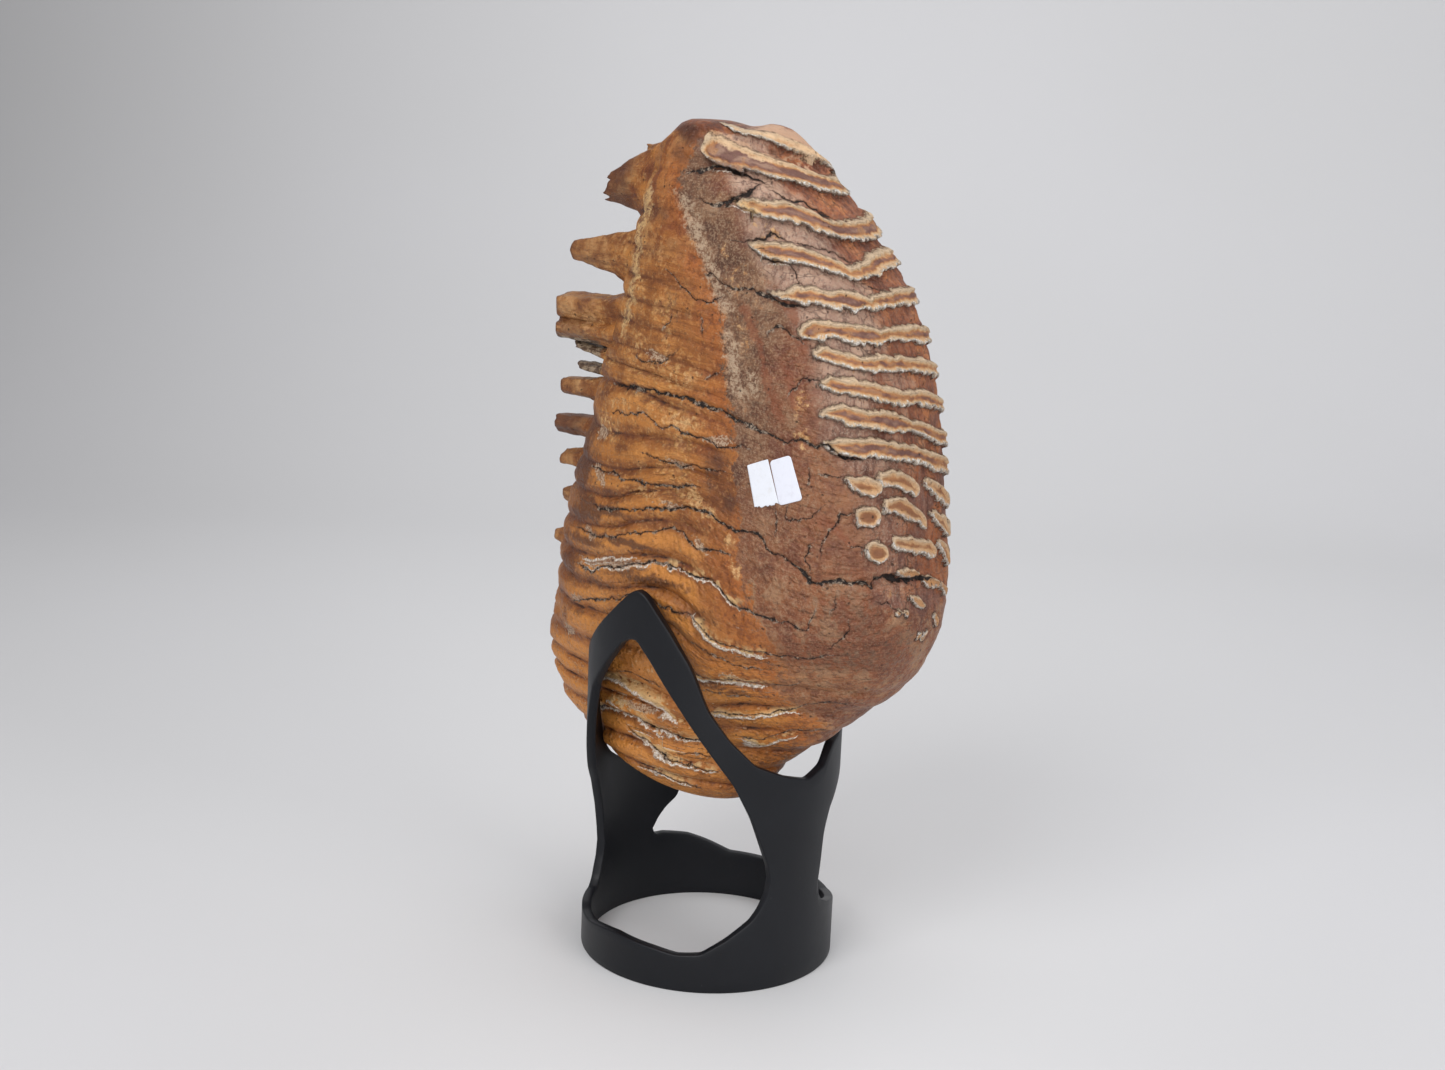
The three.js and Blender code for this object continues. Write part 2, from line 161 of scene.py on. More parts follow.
# Forward leans down from level, and right and up are turned about it by the roll
def makeCamera():
    data = bpy.data.cameras.new("camera")
    data.lens, data.sensor_width, data.sensor_fit = cameraPlan["lens"], cameraPlan["sensor"], "HORIZONTAL"
    data.clip_start, data.clip_end = 0.05, 20
    camera = bpy.data.objects.new("camera", data)
    bpy.context.scene.collection.objects.link(camera)
    down, roll = math.radians(cameraPlan["down"]), math.radians(cameraPlan["roll"])
    forward = Vector((0, math.cos(down), -math.sin(down)))
    level = Vector((0, math.sin(down), math.cos(down)))
    right = math.cos(roll) * Vector((1, 0, 0)) + math.sin(roll) * level
    up = -math.sin(roll) * Vector((1, 0, 0)) + math.cos(roll) * level
    turn = Matrix((right, up, -forward)).transposed()
    x, y, z = cameraPlan["place"]
    place = Vector((x / 1000 + axisX, y / 1000 + axisY, z / 1000))
    camera.matrix_world = Matrix.Translation(place) @ turn.to_4x4()
    bpy.context.scene.camera = camera


# Shader helpers, which add nodes to the material in hand. An input may be a number, a colour or
# another node's socket.
hand = {}


# Links a node's socket, or sets a fixed number
def feed(socket, value):
    if isinstance(value, bpy.types.NodeSocket):
        hand["tree"].links.new(value, socket)
    elif value is not None:
        socket.default_value = value


# New node with its settings, its inputs fed by name or by number, giving its outputs
def node(kind, values, **settings):
    made = hand["tree"].nodes.new("ShaderNode" + kind)
    for setting, value in settings.items():
        setattr(made, setting, value)
    for socket, value in values.items():
        feed(made.inputs[socket], value)
    return made.outputs


# Place on the object, in metres
def objectPlace():
    return node("TexCoord", {})["Object"]


# The three parts of a vector
def split(vector):
    return node("SeparateXYZ", {0: vector})


# What the mesh's points carry under a name
def attribute(name, output="Fac"):
    return node("Attribute", {}, attribute_name=name)[output]


# One operation on up to three values
def sums(operation, a, b=None, c=None):
    return node("Math", {0: a, 1: b, 2: c}, operation=operation)[0]


# Product of all the parts
def times(*parts):
    return reduce(lambda a, b: sums("MULTIPLY", a, b), parts)


# Sum of all the parts
def plus(*parts):
    return reduce(lambda a, b: sums("ADD", a, b), parts)


# First value less the second
def less(a, b):
    return sums("SUBTRACT", a, b)


# The greater of two values
def greater(a, b):
    return sums("MAXIMUM", a, b)


# Eased step of a value between low and high
def span(value, low, high, toLow=0, toHigh=1, kind="SMOOTHSTEP"):
    inputs = {0: value, 1: low, 2: high, 3: toLow, 4: toHigh}
    return node("MapRange", inputs, interpolation_type=kind)[0]


# Straight range of a noise, whose values lie between 0.3 and 0.7
def spread(value, low, high):
    return span(value, 0.3, 0.7, low, high, "LINEAR")


# First colour where the amount is 0, second where it is 1
def blendColours(amount, a, b):
    return node("Mix", {0: amount, 6: a, 7: b}, data_type="RGBA")[2]


# Colours laid over a base, each as [how much, red, green, blue] or [how much, socket]
def layers(base, *rows):
    for amount, *shade in rows:
        base = blendColours(amount, base, colour(*shade) if len(shade) == 3 else shade[0])
    return base


# Ramp through stops of [place, colour]
def ramp(value, stops):
    made = hand["tree"].nodes.new("ShaderNodeValToRGB")
    feed(made.inputs[0], value)
    parts = made.color_ramp.elements
    while len(parts) < len(stops):
        parts.new(0.5)
    for part, (place, shade) in zip(parts, stops):
        part.position, part.color = place, shade
    return made.outputs[0]


# Ramp whose stops are [place, red, green, blue]
def tones(value, *stops):
    return ramp(value, [(place, colour(*shade)) for place, *shade in stops])


# Cloudy noise, with so many spots to a metre
def grain(vector, scale, detail=3, rough=0.55, twist=0):
    inputs = {"Vector": vector, "Scale": scale, "Detail": detail, "Roughness": rough, "Distortion": twist}
    return node("TexNoise", inputs)["Fac"]


# Distance to the nearest of scattered points, or to the edge between two of them
def cells(vector, scale, feature="F1"):
    return node("TexVoronoi", {"Vector": vector, "Scale": scale}, feature=feature)["Distance"]


# Vector shaken by a noise of its own, so that a pattern on it loses its regular look
def shaken(vector, scale, reach):
    moved = node("TexNoise", {"Vector": vector, "Scale": scale})["Color"]
    return node("VectorMath", {0: moved, 1: (reach, reach, reach), 2: vector}, operation="MULTIPLY_ADD")[0]


# Vector times one factor along each axis
def scaled(vector, factors):
    return node("VectorMath", {0: vector, 1: factors}, operation="MULTIPLY")[0]


# Normal tilted by the slope of a height, in metres
def bump(height, distance, strength=1, normal=None):
    return node("Bump", {"Height": height, "Distance": distance, "Strength": strength, "Normal": normal})[0]


# New material, the one in hand from now on, with its shader's inputs. Its fixed numbers are set
# on the shader's own sockets.
def newMaterial(name, **fixed):
    material = bpy.data.materials.new(name)
    material.use_nodes = True
    hand["tree"] = material.node_tree
    shader = material.node_tree.nodes["Principled BSDF"].inputs
    for socket, value in fixed.items():
        shader[socket.replace("_", " ")].default_value = value
    return material, shader


# Floor and wall in one soft sweep, and the studio's light: lamps as [name, place, size, power]
studio = {
    "grey": (206, 206, 208), "world": 0.56, "sky": (243, 243, 246), "aim": (0, 0, 0.18),
    "floorSize": 3.2, "wallAt": 1.5, "wallTop": 2.6, "bend": 0.7, "columns": 9, "turns": 17,
    "lamps": [
        ["keyLamp", (-0.9, -1.5, 1.7), 1.1, 22], ["fillLamp", (1.3, -1.3, 1.1), 1.2, 13],
        ["topLamp", (0.2, 0.1, 2.1), 1.6, 13], ["lowLamp", (-0.1, -1.9, 0.45), 1.2, 6],
    ],
}


# The sweep's colour, with painted light paler round the stand against the shade it casts and painted shade
# darker far off to the left
def makeSweepMaterial():
    material, shader = newMaterial("paleSweep", Roughness=0.75)
    place = objectPlace()
    x, y, _ = split(place)
    aside = sums("DIVIDE", sums("ABSOLUTE", x), sums("MULTIPLY_ADD", y, 0.36, 0.176))
    shade = layers(
        colour(*studio["grey"]),
        [span(grain(place, 1.4, 2), 0.35, 0.65), 203, 203, 204],
        # Painted light: paler round the stand and in front of it
        [times(span(aside, 1.6, 0.3), span(y, 1.3, 0.7, 0.3)), 213, 213, 214],
        # Painted shade: darker off to the left and up the wall
        [times(span(x, 0.1, -1.5), span(y, -0.4, 1.5, 0.15)), 122, 121, 121],
    )
    feed(shader["Base Color"], shade)
    feed(shader["Normal"], bump(grain(place, 900, 2), 0.0002, 0.15))
    return material


# The profile runs along the floor, round a quarter circle and up the wall
def makeStudio():
    turn = np.linspace(0, math.pi / 2, studio["turns"])
    bend, wall, size = studio["bend"], studio["wallAt"], studio["floorSize"]
    run = np.concatenate([[-size], wall - bend + bend * np.sin(turn), [wall]])
    rise = np.concatenate([[0], bend - bend * np.cos(turn), [studio["wallTop"]]])
    x, y = np.meshgrid(np.linspace(-size, size, studio["columns"]), run)
    points = np.stack([x, y, np.broadcast_to(rise[:, None], x.shape)], -1).reshape(-1, 3)
    points = (points - np.array([axisX, axisY, 0])) * 1000
    floor = makePiece("sweep", points, gridQuads(len(run), studio["columns"]), makeSweepMaterial())
    world = bpy.data.worlds.new("studio")
    world.use_nodes = True
    sky = world.node_tree.nodes["Background"].inputs
    sky[0].default_value, sky[1].default_value = colour(*studio["sky"]), studio["world"]
    bpy.context.scene.world = world
    for name, spot, size, power in studio["lamps"]:
        data = bpy.data.lights.new(name, "AREA")
        data.shape, data.size, data.energy = "SQUARE", size, power
        lamp = bpy.data.objects.new(name, data)
        lamp.location = spot
        aim = Vector(studio["aim"]) - Vector(spot)
        lamp.rotation_euler = aim.to_track_quat("-Z", "Y").to_euler()
        bpy.context.scene.collection.objects.link(lamp)
    bpy.context.scene.view_settings.view_transform = "Standard"


# The stand: a pipe 108 mm across with a 4 mm wall. Edges are [angle, height], the angle going
# from the front towards the right. Stretches of the wall are [first angle, last angle, columns],
# a window and a pillar by turns.
stand = {
    "radius": 54, "wall": 4, "edge": 0.7, "sillRows": 7, "archRows": 9, "softCrown": 2, "tight": 2.97,
    "stretches": [(-113, 28, 104), (28, 58, 22), (58, 211, 112), (211, 247, 26)],
    "windows": [(-113, 28), (58, 211)],
    "seams": [[-113, 35], [28, 47.6], [58, 40.6], [211, 33], [247, 35]],
    "sills": [
        [[-113, 35], [-112, 29], [-110, 25], [-108, 20], [-104, 16.6], [-86, 16.4], [-81, 15.2],
         [-67, 15.6], [-54, 17.6], [-45, 18.4], [-24, 17], [-13, 15.6], [-2, 16.6], [9, 23],
         [20, 30.6], [24, 35.5], [27, 41.6], [28, 47.6]],
        [[58, 40.6], [59, 35], [62, 31.4], [70, 27.8], [86, 23.5], [104, 20.4], [151, 20.2], [170, 20.6],
         [182, 25.4], [191, 28.4], [204, 30.2], [208, 29.9], [210.3, 31], [211, 33]],
    ],
    "arches": [
        [[-113, 35], [-112, 41], [-109, 53], [-103, 66], [-96, 74], [-87, 89], [-78, 105], [-71, 118],
         [-59, 130], [-46, 142.6], [-41, 145], [-37, 145], [-30, 138], [-17, 122], [-5, 106.8], [9, 89.7],
         [18, 74.5], [25, 58], [27, 53], [28, 47.6]],
        [[58, 40.6], [59, 45.8], [61, 61], [66, 70], [76, 77], [90, 85], [103, 96], [114, 109],
         [127, 129], [139, 145], [146, 142.6], [163, 122], [175, 107], [183, 98.4], [187, 88], [190, 76],
         [195, 56], [198, 47.3], [204, 42.5], [208, 38], [211, 33]],
    ],
    "crown": [
        [-113, 79.5], [-110, 83], [-104, 94], [-98, 108], [-92, 121], [-86, 130], [-73, 139.4],
        [-54, 153.8], [-42, 163.7], [-38, 165.8], [-33, 164], [-22, 152], [-11, 137.5], [-3, 120],
        [7, 107.7], [19, 97], [34, 91], [47, 87.8], [59, 91.4], [66, 99], [74, 101], [84, 106],
        [96, 116], [108, 127], [120, 140], [131, 153], [138, 163], [143, 165.8], [149, 163],
        [158, 152], [169, 137.5], [177, 120], [187, 107.7], [197, 97], [207, 84], [215, 74],
        [224, 70], [234, 71], [243, 76], [247, 79.5],
    ],
}


# Height of an edge at angles, its corners rounded off over a few degrees by a weighted mean
def edgeHeight(knots, angles, soften=1.2):
    knots = np.array(knots, float)
    around = np.linspace(-soften, soften, 7)
    at = np.clip(angles[:, None] + around, knots[0, 0], knots[-1, 0])
    weight = 1 - np.abs(around) / (soften * 1.3)
    return (np.interp(at, knots[:, 0], knots[:, 1]) * weight).sum(1) / weight.sum()


# The pipe's outer wall as a ring of columns, in rows from the foot to the sill and from the arch
# to the crown, given its thickness inwards by Solidify
def makeStand(material):
    angles, window = [], []
    for index, (first, last, count) in enumerate(stand["stretches"]):
        part = np.arange(count) / count
        isWindow = index % 2 == 0
        if isWindow:  # closer columns towards the ends, where the outline is steep
            part = 0.62 * part + 0.38 * (0.5 - 0.5 * np.cos(math.pi * part))
        angles.append(first + (last - first) * part)
        window.append(np.full(count, index // 2 if isWindow else -1))
    angles, window = np.concatenate(angles), np.concatenate(window)
    ends = np.isin(angles, [first for first, _, _ in stand["stretches"]])
    seam = np.interp(angles, *np.array(stand["seams"]).T)
    sill, arch = seam.copy(), seam.copy()
    for index, (low, high) in enumerate(stand["windows"]):
        here = (window == index) & ~ends
        nearEnd = np.minimum(angles[here] - low, high - angles[here]) < stand["tight"]
        for edge, knots in ((sill, stand["sills"][index]), (arch, stand["arches"][index])):
            plain = np.interp(angles[here], *np.array(knots).T)
            edge[here] = np.where(nearEnd, plain, edgeHeight(knots, angles[here]))
    crown = np.array(stand["crown"])
    crown = np.concatenate([crown - [360, 0], crown, crown + [360, 0]])
    crown = edgeHeight(crown, angles, stand["softCrown"])
    lowRows, highRows, columns = stand["sillRows"], stand["archRows"], len(angles)
    lower = np.linspace(0, 1, lowRows)[:, None] * sill
    upper = arch + np.linspace(0, 1, highRows)[:, None] * (crown - arch)
    turn = np.radians(angles)
    x, y = stand["radius"] * np.sin(turn), -stand["radius"] * np.cos(turn)
    heights = np.concatenate([lower, upper])
    points = np.stack([np.broadcast_to(x, heights.shape), np.broadcast_to(y, heights.shape), heights], -1)
    quads = np.concatenate([ringQuads(lowRows, columns), ringQuads(highRows, columns, lowRows * columns)])
    # Outside the windows the sill and the arch are one row of vertices
    closed = (window < 0) | ends
    merge = np.arange(len(heights) * columns)
    bottom = lowRows * columns + np.arange(columns)
    merge[bottom[closed]] = bottom[closed] - columns
    used, packed = np.unique(merge[quads], return_inverse=True)
    piece = makePiece("stand_wall", points.reshape(-1, 3)[used], packed.reshape(-1, 4), material)
    solid = piece.modifiers.new("wall", "SOLIDIFY")
    solid.thickness, solid.offset = stand["wall"] / 1000, -1
    solid.use_even_offset = False
    rounding = piece.modifiers.new("edges", "BEVEL")
    rounding.width, rounding.segments = stand["edge"] / 1000, 2
    rounding.limit_method, rounding.angle_limit = "ANGLE", math.radians(50)
    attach(piece, "root")
    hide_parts("stand")


# Satin black: two near blacks in clouds, pale specks of dust and a faint orange peel
def makePaint():
    material, shader = newMaterial("satinBlackPaint", Metallic=0, Specular_IOR_Level=0.32)
    place = objectPlace()
    cloudy = grain(place, 28, 4)
    specks = span(grain(place, 420, 2), 0.72, 0.78)
    shade = layers(
        colour(9, 11, 17),
        [span(cloudy, 0.35, 0.7), 14, 16, 22],
        [times(specks, 0.25), 52, 52, 54],
    )
    feed(shader["Base Color"], shade)
    feed(shader["Roughness"], span(cloudy, 0.3, 0.7, 0.4, 0.5))
    fine = bump(grain(place, 1500, 2), 0.0001, 0.35)
    feed(shader["Normal"], bump(grain(place, 90), 0.0002, 0.3, fine))
    return material


# The tooth's long form: sections stacked from its back end, at the bottom, to its front end.
# Each is [height, root side, chewing side, half thickness, squareness at the root side and at
# the chewing side].
tooth = {
    "faceTurn": 37, "setBack": 3, "farFlatness": 0.88,
    "backEnd": 66, "backCap": 92, "frontCap": 338, "frontEnd": 348.6, "capPower": 2.6,
    "sections": np.array([
        [66, -55, 26, 24, 1.9, 1.9], [78, -60, 28, 25, 1.9, 1.9], [86, -69.5, 34, 26, 1.9, 1.9],
        [92, -78, 40, 25, 1.9, 1.9], [104, -87.5, 56, 28.5, 1.9, 1.9], [118, -90, 72.5, 32.5, 1.9, 2],
        [133, -90, 88.5, 39, 2, 2.3], [150, -83, 97, 45, 2.1, 2.8], [170, -77, 97.5, 48, 2.3, 3.3],
        [195, -71, 95, 49, 2.3, 3.3], [220, -63, 92, 48, 2.3, 3.3], [245, -57, 88, 46.5, 2.3, 3.3],
        [268, -49, 80, 45, 2.3, 3.3], [290, -43.5, 69.5, 42, 2.3, 3.3], [308, -38, 54, 40, 2.3, 3.3],
        [322, -35, 42, 37, 2.3, 3.3], [336, -32, 28, 31, 2.3, 3], [349, -31, 20, 27, 2.3, 3],
    ]),
    "plates": [335, 318, 302, 290, 278.5, 267, 256, 245, 233.5, 221, 209, 196, 183, 172, 161, 150, 138,
               126, 114, 103, 93, 83, 74],
    "driftAngles": np.array([45, 90, 120, 150, 175, 195, 230, 270, 315.0]),
    "drifts": np.array([
        [66, 0, 0, 0, 0, 0, 0, 0, 0, 0], [106, 2, 1, -2, 0, 0, 0, 0, 0, 1],
        [122, -1, -3, -6, 0, 1, 0, -2, -2, -1], [136, 2, 5, -4, 0, 1, 0, -2, 0, 1],
        [152, 3, 8, -4, 0, 1, 0, -3, 2, 3], [164, 5, 13, 4, 0, -1, -4, -4, 4, 4],
        [184, 8, 18, 11, 0, -3, -10, -8, 6, 8], [209, 7, 12, 8, 0, -4, -12, -10, 2, 7],
        [231, 14, 11, 6, 0, -6, -13, -12, -1, 9], [246, 8, 6, 3, 0, -6, -16, -14, -4, 3],
        [268, 5, 2, -1, 0, -6, -12, -13, -6, 1], [290, 2, 0, -4, 0, -7, -10, -9, -5, 0],
        [318, 2, 2, 2, 0, -7, -9, -8, -3, 0], [348, 0, 0, 0, 0, 0, 0, 0, 0, 0],
    ], float),
    "faceStart": np.array([
        [66, 205], [158, 200], [173, 163], [196, 160], [221, 154], [234, 146], [267, 143], [290, 132],
        [302, 124], [318, 120], [348, 112],
    ], float),
}

# Worn loops as [height share, points]. A point is [arc, height, half width]: the arc runs over
# the skin from the middle of the chewing face and is positive towards the near side.
loops = [
    [1, [[45, 334.6, 2.2], [41.5, 335, 4.2], [36, 335.5, 5.2], [31, 335.1, 5.2], [27, 334, 4.8],
        [19, 331.1, 4.2], [13, 330.1, 4.1], [7, 328.6, 4.1], [0, 326.4, 3.8], [-11, 324.9, 3.4],
        [-20, 326, 3], [-34, 329, 2.4]]],
    [0.8, [[28, 345.4, 0.5], [22, 344.8, 1.2], [16, 343.8, 1.9], [10, 342.3, 2.5], [3, 340.1, 2.7],
        [-4, 337.9, 2.5], [-12, 335.1, 2.6], [-20, 332.6, 2.5], [-32, 332.4, 2]]],
    [1, [[46, 317.7, 1.2], [41, 317.9, 2.9], [34, 316.9, 3.5], [27, 316.3, 4.1], [23, 315, 4.1],
        [16, 311.8, 3.8], [11, 309.9, 3.6], [6, 309.4, 3.7], [-2, 309.2, 4.1], [-11, 308.9, 4.2],
        [-28, 311, 3.6], [-38, 313, 2.8]]],
    [1, [[51, 303.3, 1.2], [48, 302.3, 2.6], [44, 302, 3.6], [37, 301.4, 3.8], [30, 299.9, 3.6],
        [23, 297.4, 3], [17, 294.5, 2.8], [9, 295.2, 3], [2, 296, 3.2], [-6, 298, 3.4], [-20, 299, 3.2],
        [-38, 297, 2.8]]],
    [1, [[54, 286.5, 0.6], [50, 285.9, 1.8], [43, 286.2, 3.3], [37, 287, 3.4], [31, 285.4, 3.3],
        [25, 285.3, 3.9], [20, 284.6, 3.4], [13, 283.4, 2.5], [6, 283.9, 2.7], [-1, 284.4, 3.3],
        [-9, 284.8, 3.3], [-30, 284, 3], [-44, 283, 2.6]]],
    [1, [[45.5, 272.6, 2.4], [43, 273.6, 3.8], [38, 275.1, 3.5], [31, 274.1, 3.2], [23, 272.9, 3.9],
        [18, 272.3, 3.7], [14, 271.2, 2.8], [8, 272.1, 2.7], [-1, 271.7, 3.1], [-10, 271.1, 3.4],
        [-19, 270.3, 3.2], [-32, 268, 2.8], [-44, 268, 2.4]]],
    [1, [[43.5, 265.7, 1.9], [40, 266, 3], [34, 264.7, 3.2], [26, 262.3, 2.9], [17, 262.3, 3.3],
        [11, 261.5, 3.3], [4, 261.1, 3], [-9, 259.2, 3.1], [-17, 257.7, 2.7], [-31, 255, 2.5],
        [-44, 255, 2.2]]],
    [1, [[43.5, 254.9, 2], [40, 255.1, 3.4], [33, 254.1, 3.4], [27, 253.1, 3.6], [20, 251.7, 3.3],
        [9, 248.7, 3], [2, 248.5, 3], [-5, 247.7, 3.2], [-14, 245, 2.9], [-28, 242, 2.6], [-43, 242, 2.4]]],
    [1, [[45.5, 244.1, 1.3], [42, 244.6, 2.9], [38, 244.4, 3.9], [31, 242.9, 3.5], [22, 241.5, 3.9],
        [17, 240.6, 3.9], [12, 239.3, 3.4], [5, 238.1, 2.8], [-2, 235.9, 3], [-9, 233.6, 3.2],
        [-16, 231.3, 3.1], [-28, 229, 2.7], [-42, 230, 2.4]]],
    [1, [[46.5, 233.5, 1], [43, 232.9, 2.3], [38, 231.8, 3.8], [32, 231.5, 4], [28, 232, 3.7],
        [19, 229.9, 3.9], [13, 229.2, 3.4], [6, 227.4, 3.3], [-1, 225.4, 3.2], [-8, 223.5, 3.4],
        [-16, 221, 3.3], [-28, 218, 2.9], [-40, 219, 2.6]]],
    [0.85, [[38, 219.5, 1.6], [34, 218, 3.2], [30, 217, 3.6], [27, 216.5, 2.8]]],
    [0.85, [[24, 220, 2.6], [19, 220, 3.4], [13, 218, 3.5], [8, 216, 3.2], [5, 214, 2.6]]],
    [0.8, [[-4, 215, 2], [-13, 210.5, 3.2], [-21, 205.5, 2.6]]], [0.8, [[-30, 205, 3], [-37, 206, 2.6]]],
    [0.85, [[32, 206, 4.4], [29.5, 205.6, 4.4]]],
    [0.85, [[22, 209.6, 2.8], [17, 209, 3.7], [10, 206.3, 3.6], [4, 203.5, 3], [0, 200.5, 2]]],
    [0.8, [[-8, 202, 2.2], [-14, 198.5, 3.1], [-20, 193.5, 2.6]]], [0.8, [[-29, 194, 3], [-36, 195, 2.6]]],
    [0.85, [[28.2, 192.6, 4.6], [26.6, 192.2, 4.6]]],
    [0.85, [[18, 195, 2.8], [12, 193.8, 3.2], [5, 192.2, 3.2], [-2, 190.3, 3.3], [-5, 188.5, 2.4]]],
    [0.8, [[-11, 190, 2.2], [-16, 186.5, 3.1], [-19, 182.5, 2.6]]], [0.8, [[-28, 183, 3], [-33, 184, 2.6]]],
    [0.7, [[18, 184, 1.2], [12, 182.5, 2.1], [5, 180.5, 1.7]]],
    [0.7, [[1, 178.5, 1.3], [-3, 177, 2.1], [-8, 175, 1.8]]], [0.7, [[-12, 174, 1.6], [-16, 171, 2.2]]],
    [0.4, [[10, 172.8, 1.2], [6, 170.5, 1.9], [2, 168, 1.4]]], [0.3, [[18, 168.5, 1], [13, 167, 1.3]]],
    [0.25, [[-7.5, 162, 1.8], [-8.5, 159.5, 2]]], [0.25, [[-1, 157.8, 1.4], [1, 155.6, 1.4]]],
    [0.2, [[4, 157.5, 1.2], [4.6, 156, 1.3]]],
]

# Cracks as [half width, points], the same way
cracks = [
    [0.54, [[151, 242.5], [130, 243.5], [108, 243.5], [98, 242], [91, 240], [81, 238], [75, 235.5],
        [70, 235], [65, 233.5], [61, 232.5], [58, 233.5], [54, 234], [50, 232], [46, 233], [41, 229],
        [37, 227.5], [32, 227.5]]],
    [0.23, [[150, 231.5], [139, 232.5], [127, 235], [124, 232.5], [117, 231], [111, 231.5], [109, 229.5],
        [99, 228.5], [90, 227], [78, 228]]],
    [0.22, [[127, 219], [119, 217.5], [110, 216.5], [101, 217], [89, 217]]],
    [0.27, [[166, 207.5], [141, 207], [121, 207.5], [111, 208.5], [102, 209.5]]],
    [0.45, [[162, 192.5], [152, 192.5], [141, 194.5], [132, 197], [119, 198.5], [110, 201], [104, 201],
        [97, 199.5], [90, 196], [79, 195.5], [75, 195.5], [72, 191], [68, 189], [62, 187], [58, 186]]],
    [0.75, [[65, 187.5], [58, 185.8], [55, 181], [48, 180.3], [45.5, 180.1], [42.5, 181.6], [39.5, 180.8],
        [36, 180]]],
    [0.9, [[38, 181], [30, 179], [28, 181.5], [24, 182.5], [16, 180], [2, 178.5], [-4, 178]]],
    [0.25, [[177, 180.5], [158, 180], [143, 184], [133, 186.5], [123, 189], [116, 192], [112, 190.5],
        [108, 187.5], [104, 185.5], [88, 185.5]]],
    [0.36, [[175, 165], [165, 164], [154, 167.5], [143, 171], [133, 174], [127, 176], [113, 176],
        [105, 174], [98, 174], [93, 171], [88, 167], [83, 165], [67, 163], [61, 163], [56, 160]]],
    [0.29, [[177, 146.5], [169, 149.5], [156, 153], [147, 156.5], [138, 159.5], [130, 161], [122, 160],
        [114, 157.5], [108, 158.5]]],
    [0.16, [[108, 158.5], [103, 156], [99, 152.6], [96, 151], [90, 148.4], [83, 147.2], [76, 147.3],
        [67, 147.8], [60, 148.2], [54, 147.9], [49, 148.6], [46, 150.5], [42, 150.5]]],
    [0.16, [[93, 132.5], [84, 130], [77, 130.2], [70, 131.4], [64, 132.2], [56, 132.4], [51, 132.4],
        [47, 133.8], [46, 136.2]]],
    [0.16, [[59, 113.3], [49, 115.4], [43, 116.2], [39, 118.2], [36, 119.5], [33, 121.7], [33, 125],
        [31, 127.3], [28, 128.2], [23, 126.7], [19, 126.2]]],
    [0.18, [[37, 103.4], [31, 101.8], [27.5, 102.8], [25.5, 105.8], [23.3, 108.6], [21, 110.7],
        [16.5, 110.8], [11, 110.2]]],
    [0.12, [[102, 145.7], [93, 142.7], [85, 140.5], [78, 139.2], [71, 139.3], [65, 140.1]]],
    [0.1, [[76, 123.5], [68, 123.8], [60, 124.8], [53, 126.1]]],
    [0.14, [[56, 160], [54, 159.6], [52, 164.5], [52, 168.7]]],
    [0.25, [[116, 122.5], [110, 123], [99, 121], [93, 120]]],
    [0.29, [[113, 100], [102, 101], [91, 102], [80, 100], [72, 98.5], [66, 99], [56, 97], [45, 97]]],
    [0.18, [[78, 94], [65, 91], [59, 88.5], [50, 85], [43, 85], [28, 84.5]]],
    [0.18, [[49, 89.5], [35, 91]]], [0.13, [[60, 79], [42, 77], [25, 74]]],
    [0.14, [[62, 208.5], [64, 205.5], [62, 203.5], [57, 203], [53, 205], [49, 209]]],
    [0.18, [[67, 206], [69, 197.5]]], [0.18, [[37, 208], [42, 207], [45, 200], [49, 195], [49, 191]]],
    [0.16, [[52, 224], [52, 220], [54, 217]]], [0.12, [[48, 220.5], [41, 220.5]]],
    [0.16, [[39, 166], [38, 162.5], [41, 158], [43, 154.5]]], [0.12, [[44, 174.5], [45, 170]]],
    [0.22, [[55, 185.5], [56, 189.5], [53, 194.5]]], [0.1, [[38, 195.5], [33, 194.5]]],
    [0.18, [[10, 189.5], [10, 185.5]]], [0.12, [[28, 173], [21, 171], [16, 167.5]]],
    [0.6, [[60, 328], [52, 329.5], [43, 331], [35, 329], [29, 325.5]]],
    [0.55, [[61, 319], [58, 316.5], [49, 317.5], [43, 320.5], [36, 322.5], [32, 324.5]]],
    [0.29, [[81, 290.5], [77, 291], [74, 287.5], [66, 287], [59, 286.5]]],
    [0.65, [[60, 286.5], [53, 284], [48, 282.5], [43, 282]]],
    [0.18, [[100, 291], [97, 286], [93, 283.5], [88, 281], [81, 282], [78, 283.5]]],
    [0.14, [[106, 273.5], [107, 271], [111, 268.5]]], [0.1, [[90, 274.5], [92, 268.5]]],
    [0.16, [[131, 256.5], [128, 254.5], [116, 255], [108, 259]]], [0.1, [[94, 252.5], [88, 254.5]]],
    [0.29, [[58, 304.5], [45, 305.5], [39, 307.5], [35, 306]]], [0.43, [[50, 299.5], [45, 298], [40, 298]]],
    [0.16, [[39, 297.5], [40, 294], [40, 291]]],
    [0.34, [[61, 270.8], [57.9, 272.3], [53.6, 274.8], [50.6, 272.4], [46.5, 270]]],
    [0.24, [[58, 250], [52, 255], [49, 256.5], [45, 256]]],
    [0.3, [[28, 322.5], [22, 319.5], [16, 318.5], [11, 315], [6, 314.5]]],
    [0.3, [[31, 304.5], [25, 303], [20, 302], [15, 298.5], [11, 297.5]]],
    [0.26, [[10, 289], [4, 288.3], [0, 287.4]]],
    [0.36, [[-46, 240], [-60, 237], [-78, 240], [-96, 245], [-120, 243], [-146, 246]]],
    [0.25, [[-52, 204], [-70, 209], [-88, 206], [-110, 210]]],
    [0.4, [[-44, 186], [-60, 190], [-74, 188], [-96, 195], [-120, 192], [-150, 190]]],
    [0.29, [[-50, 156], [-72, 150], [-90, 154], [-120, 158], [-160, 152]]],
    [0.29, [[-48, 281], [-64, 284], [-80, 279], [-98, 283]]],
]

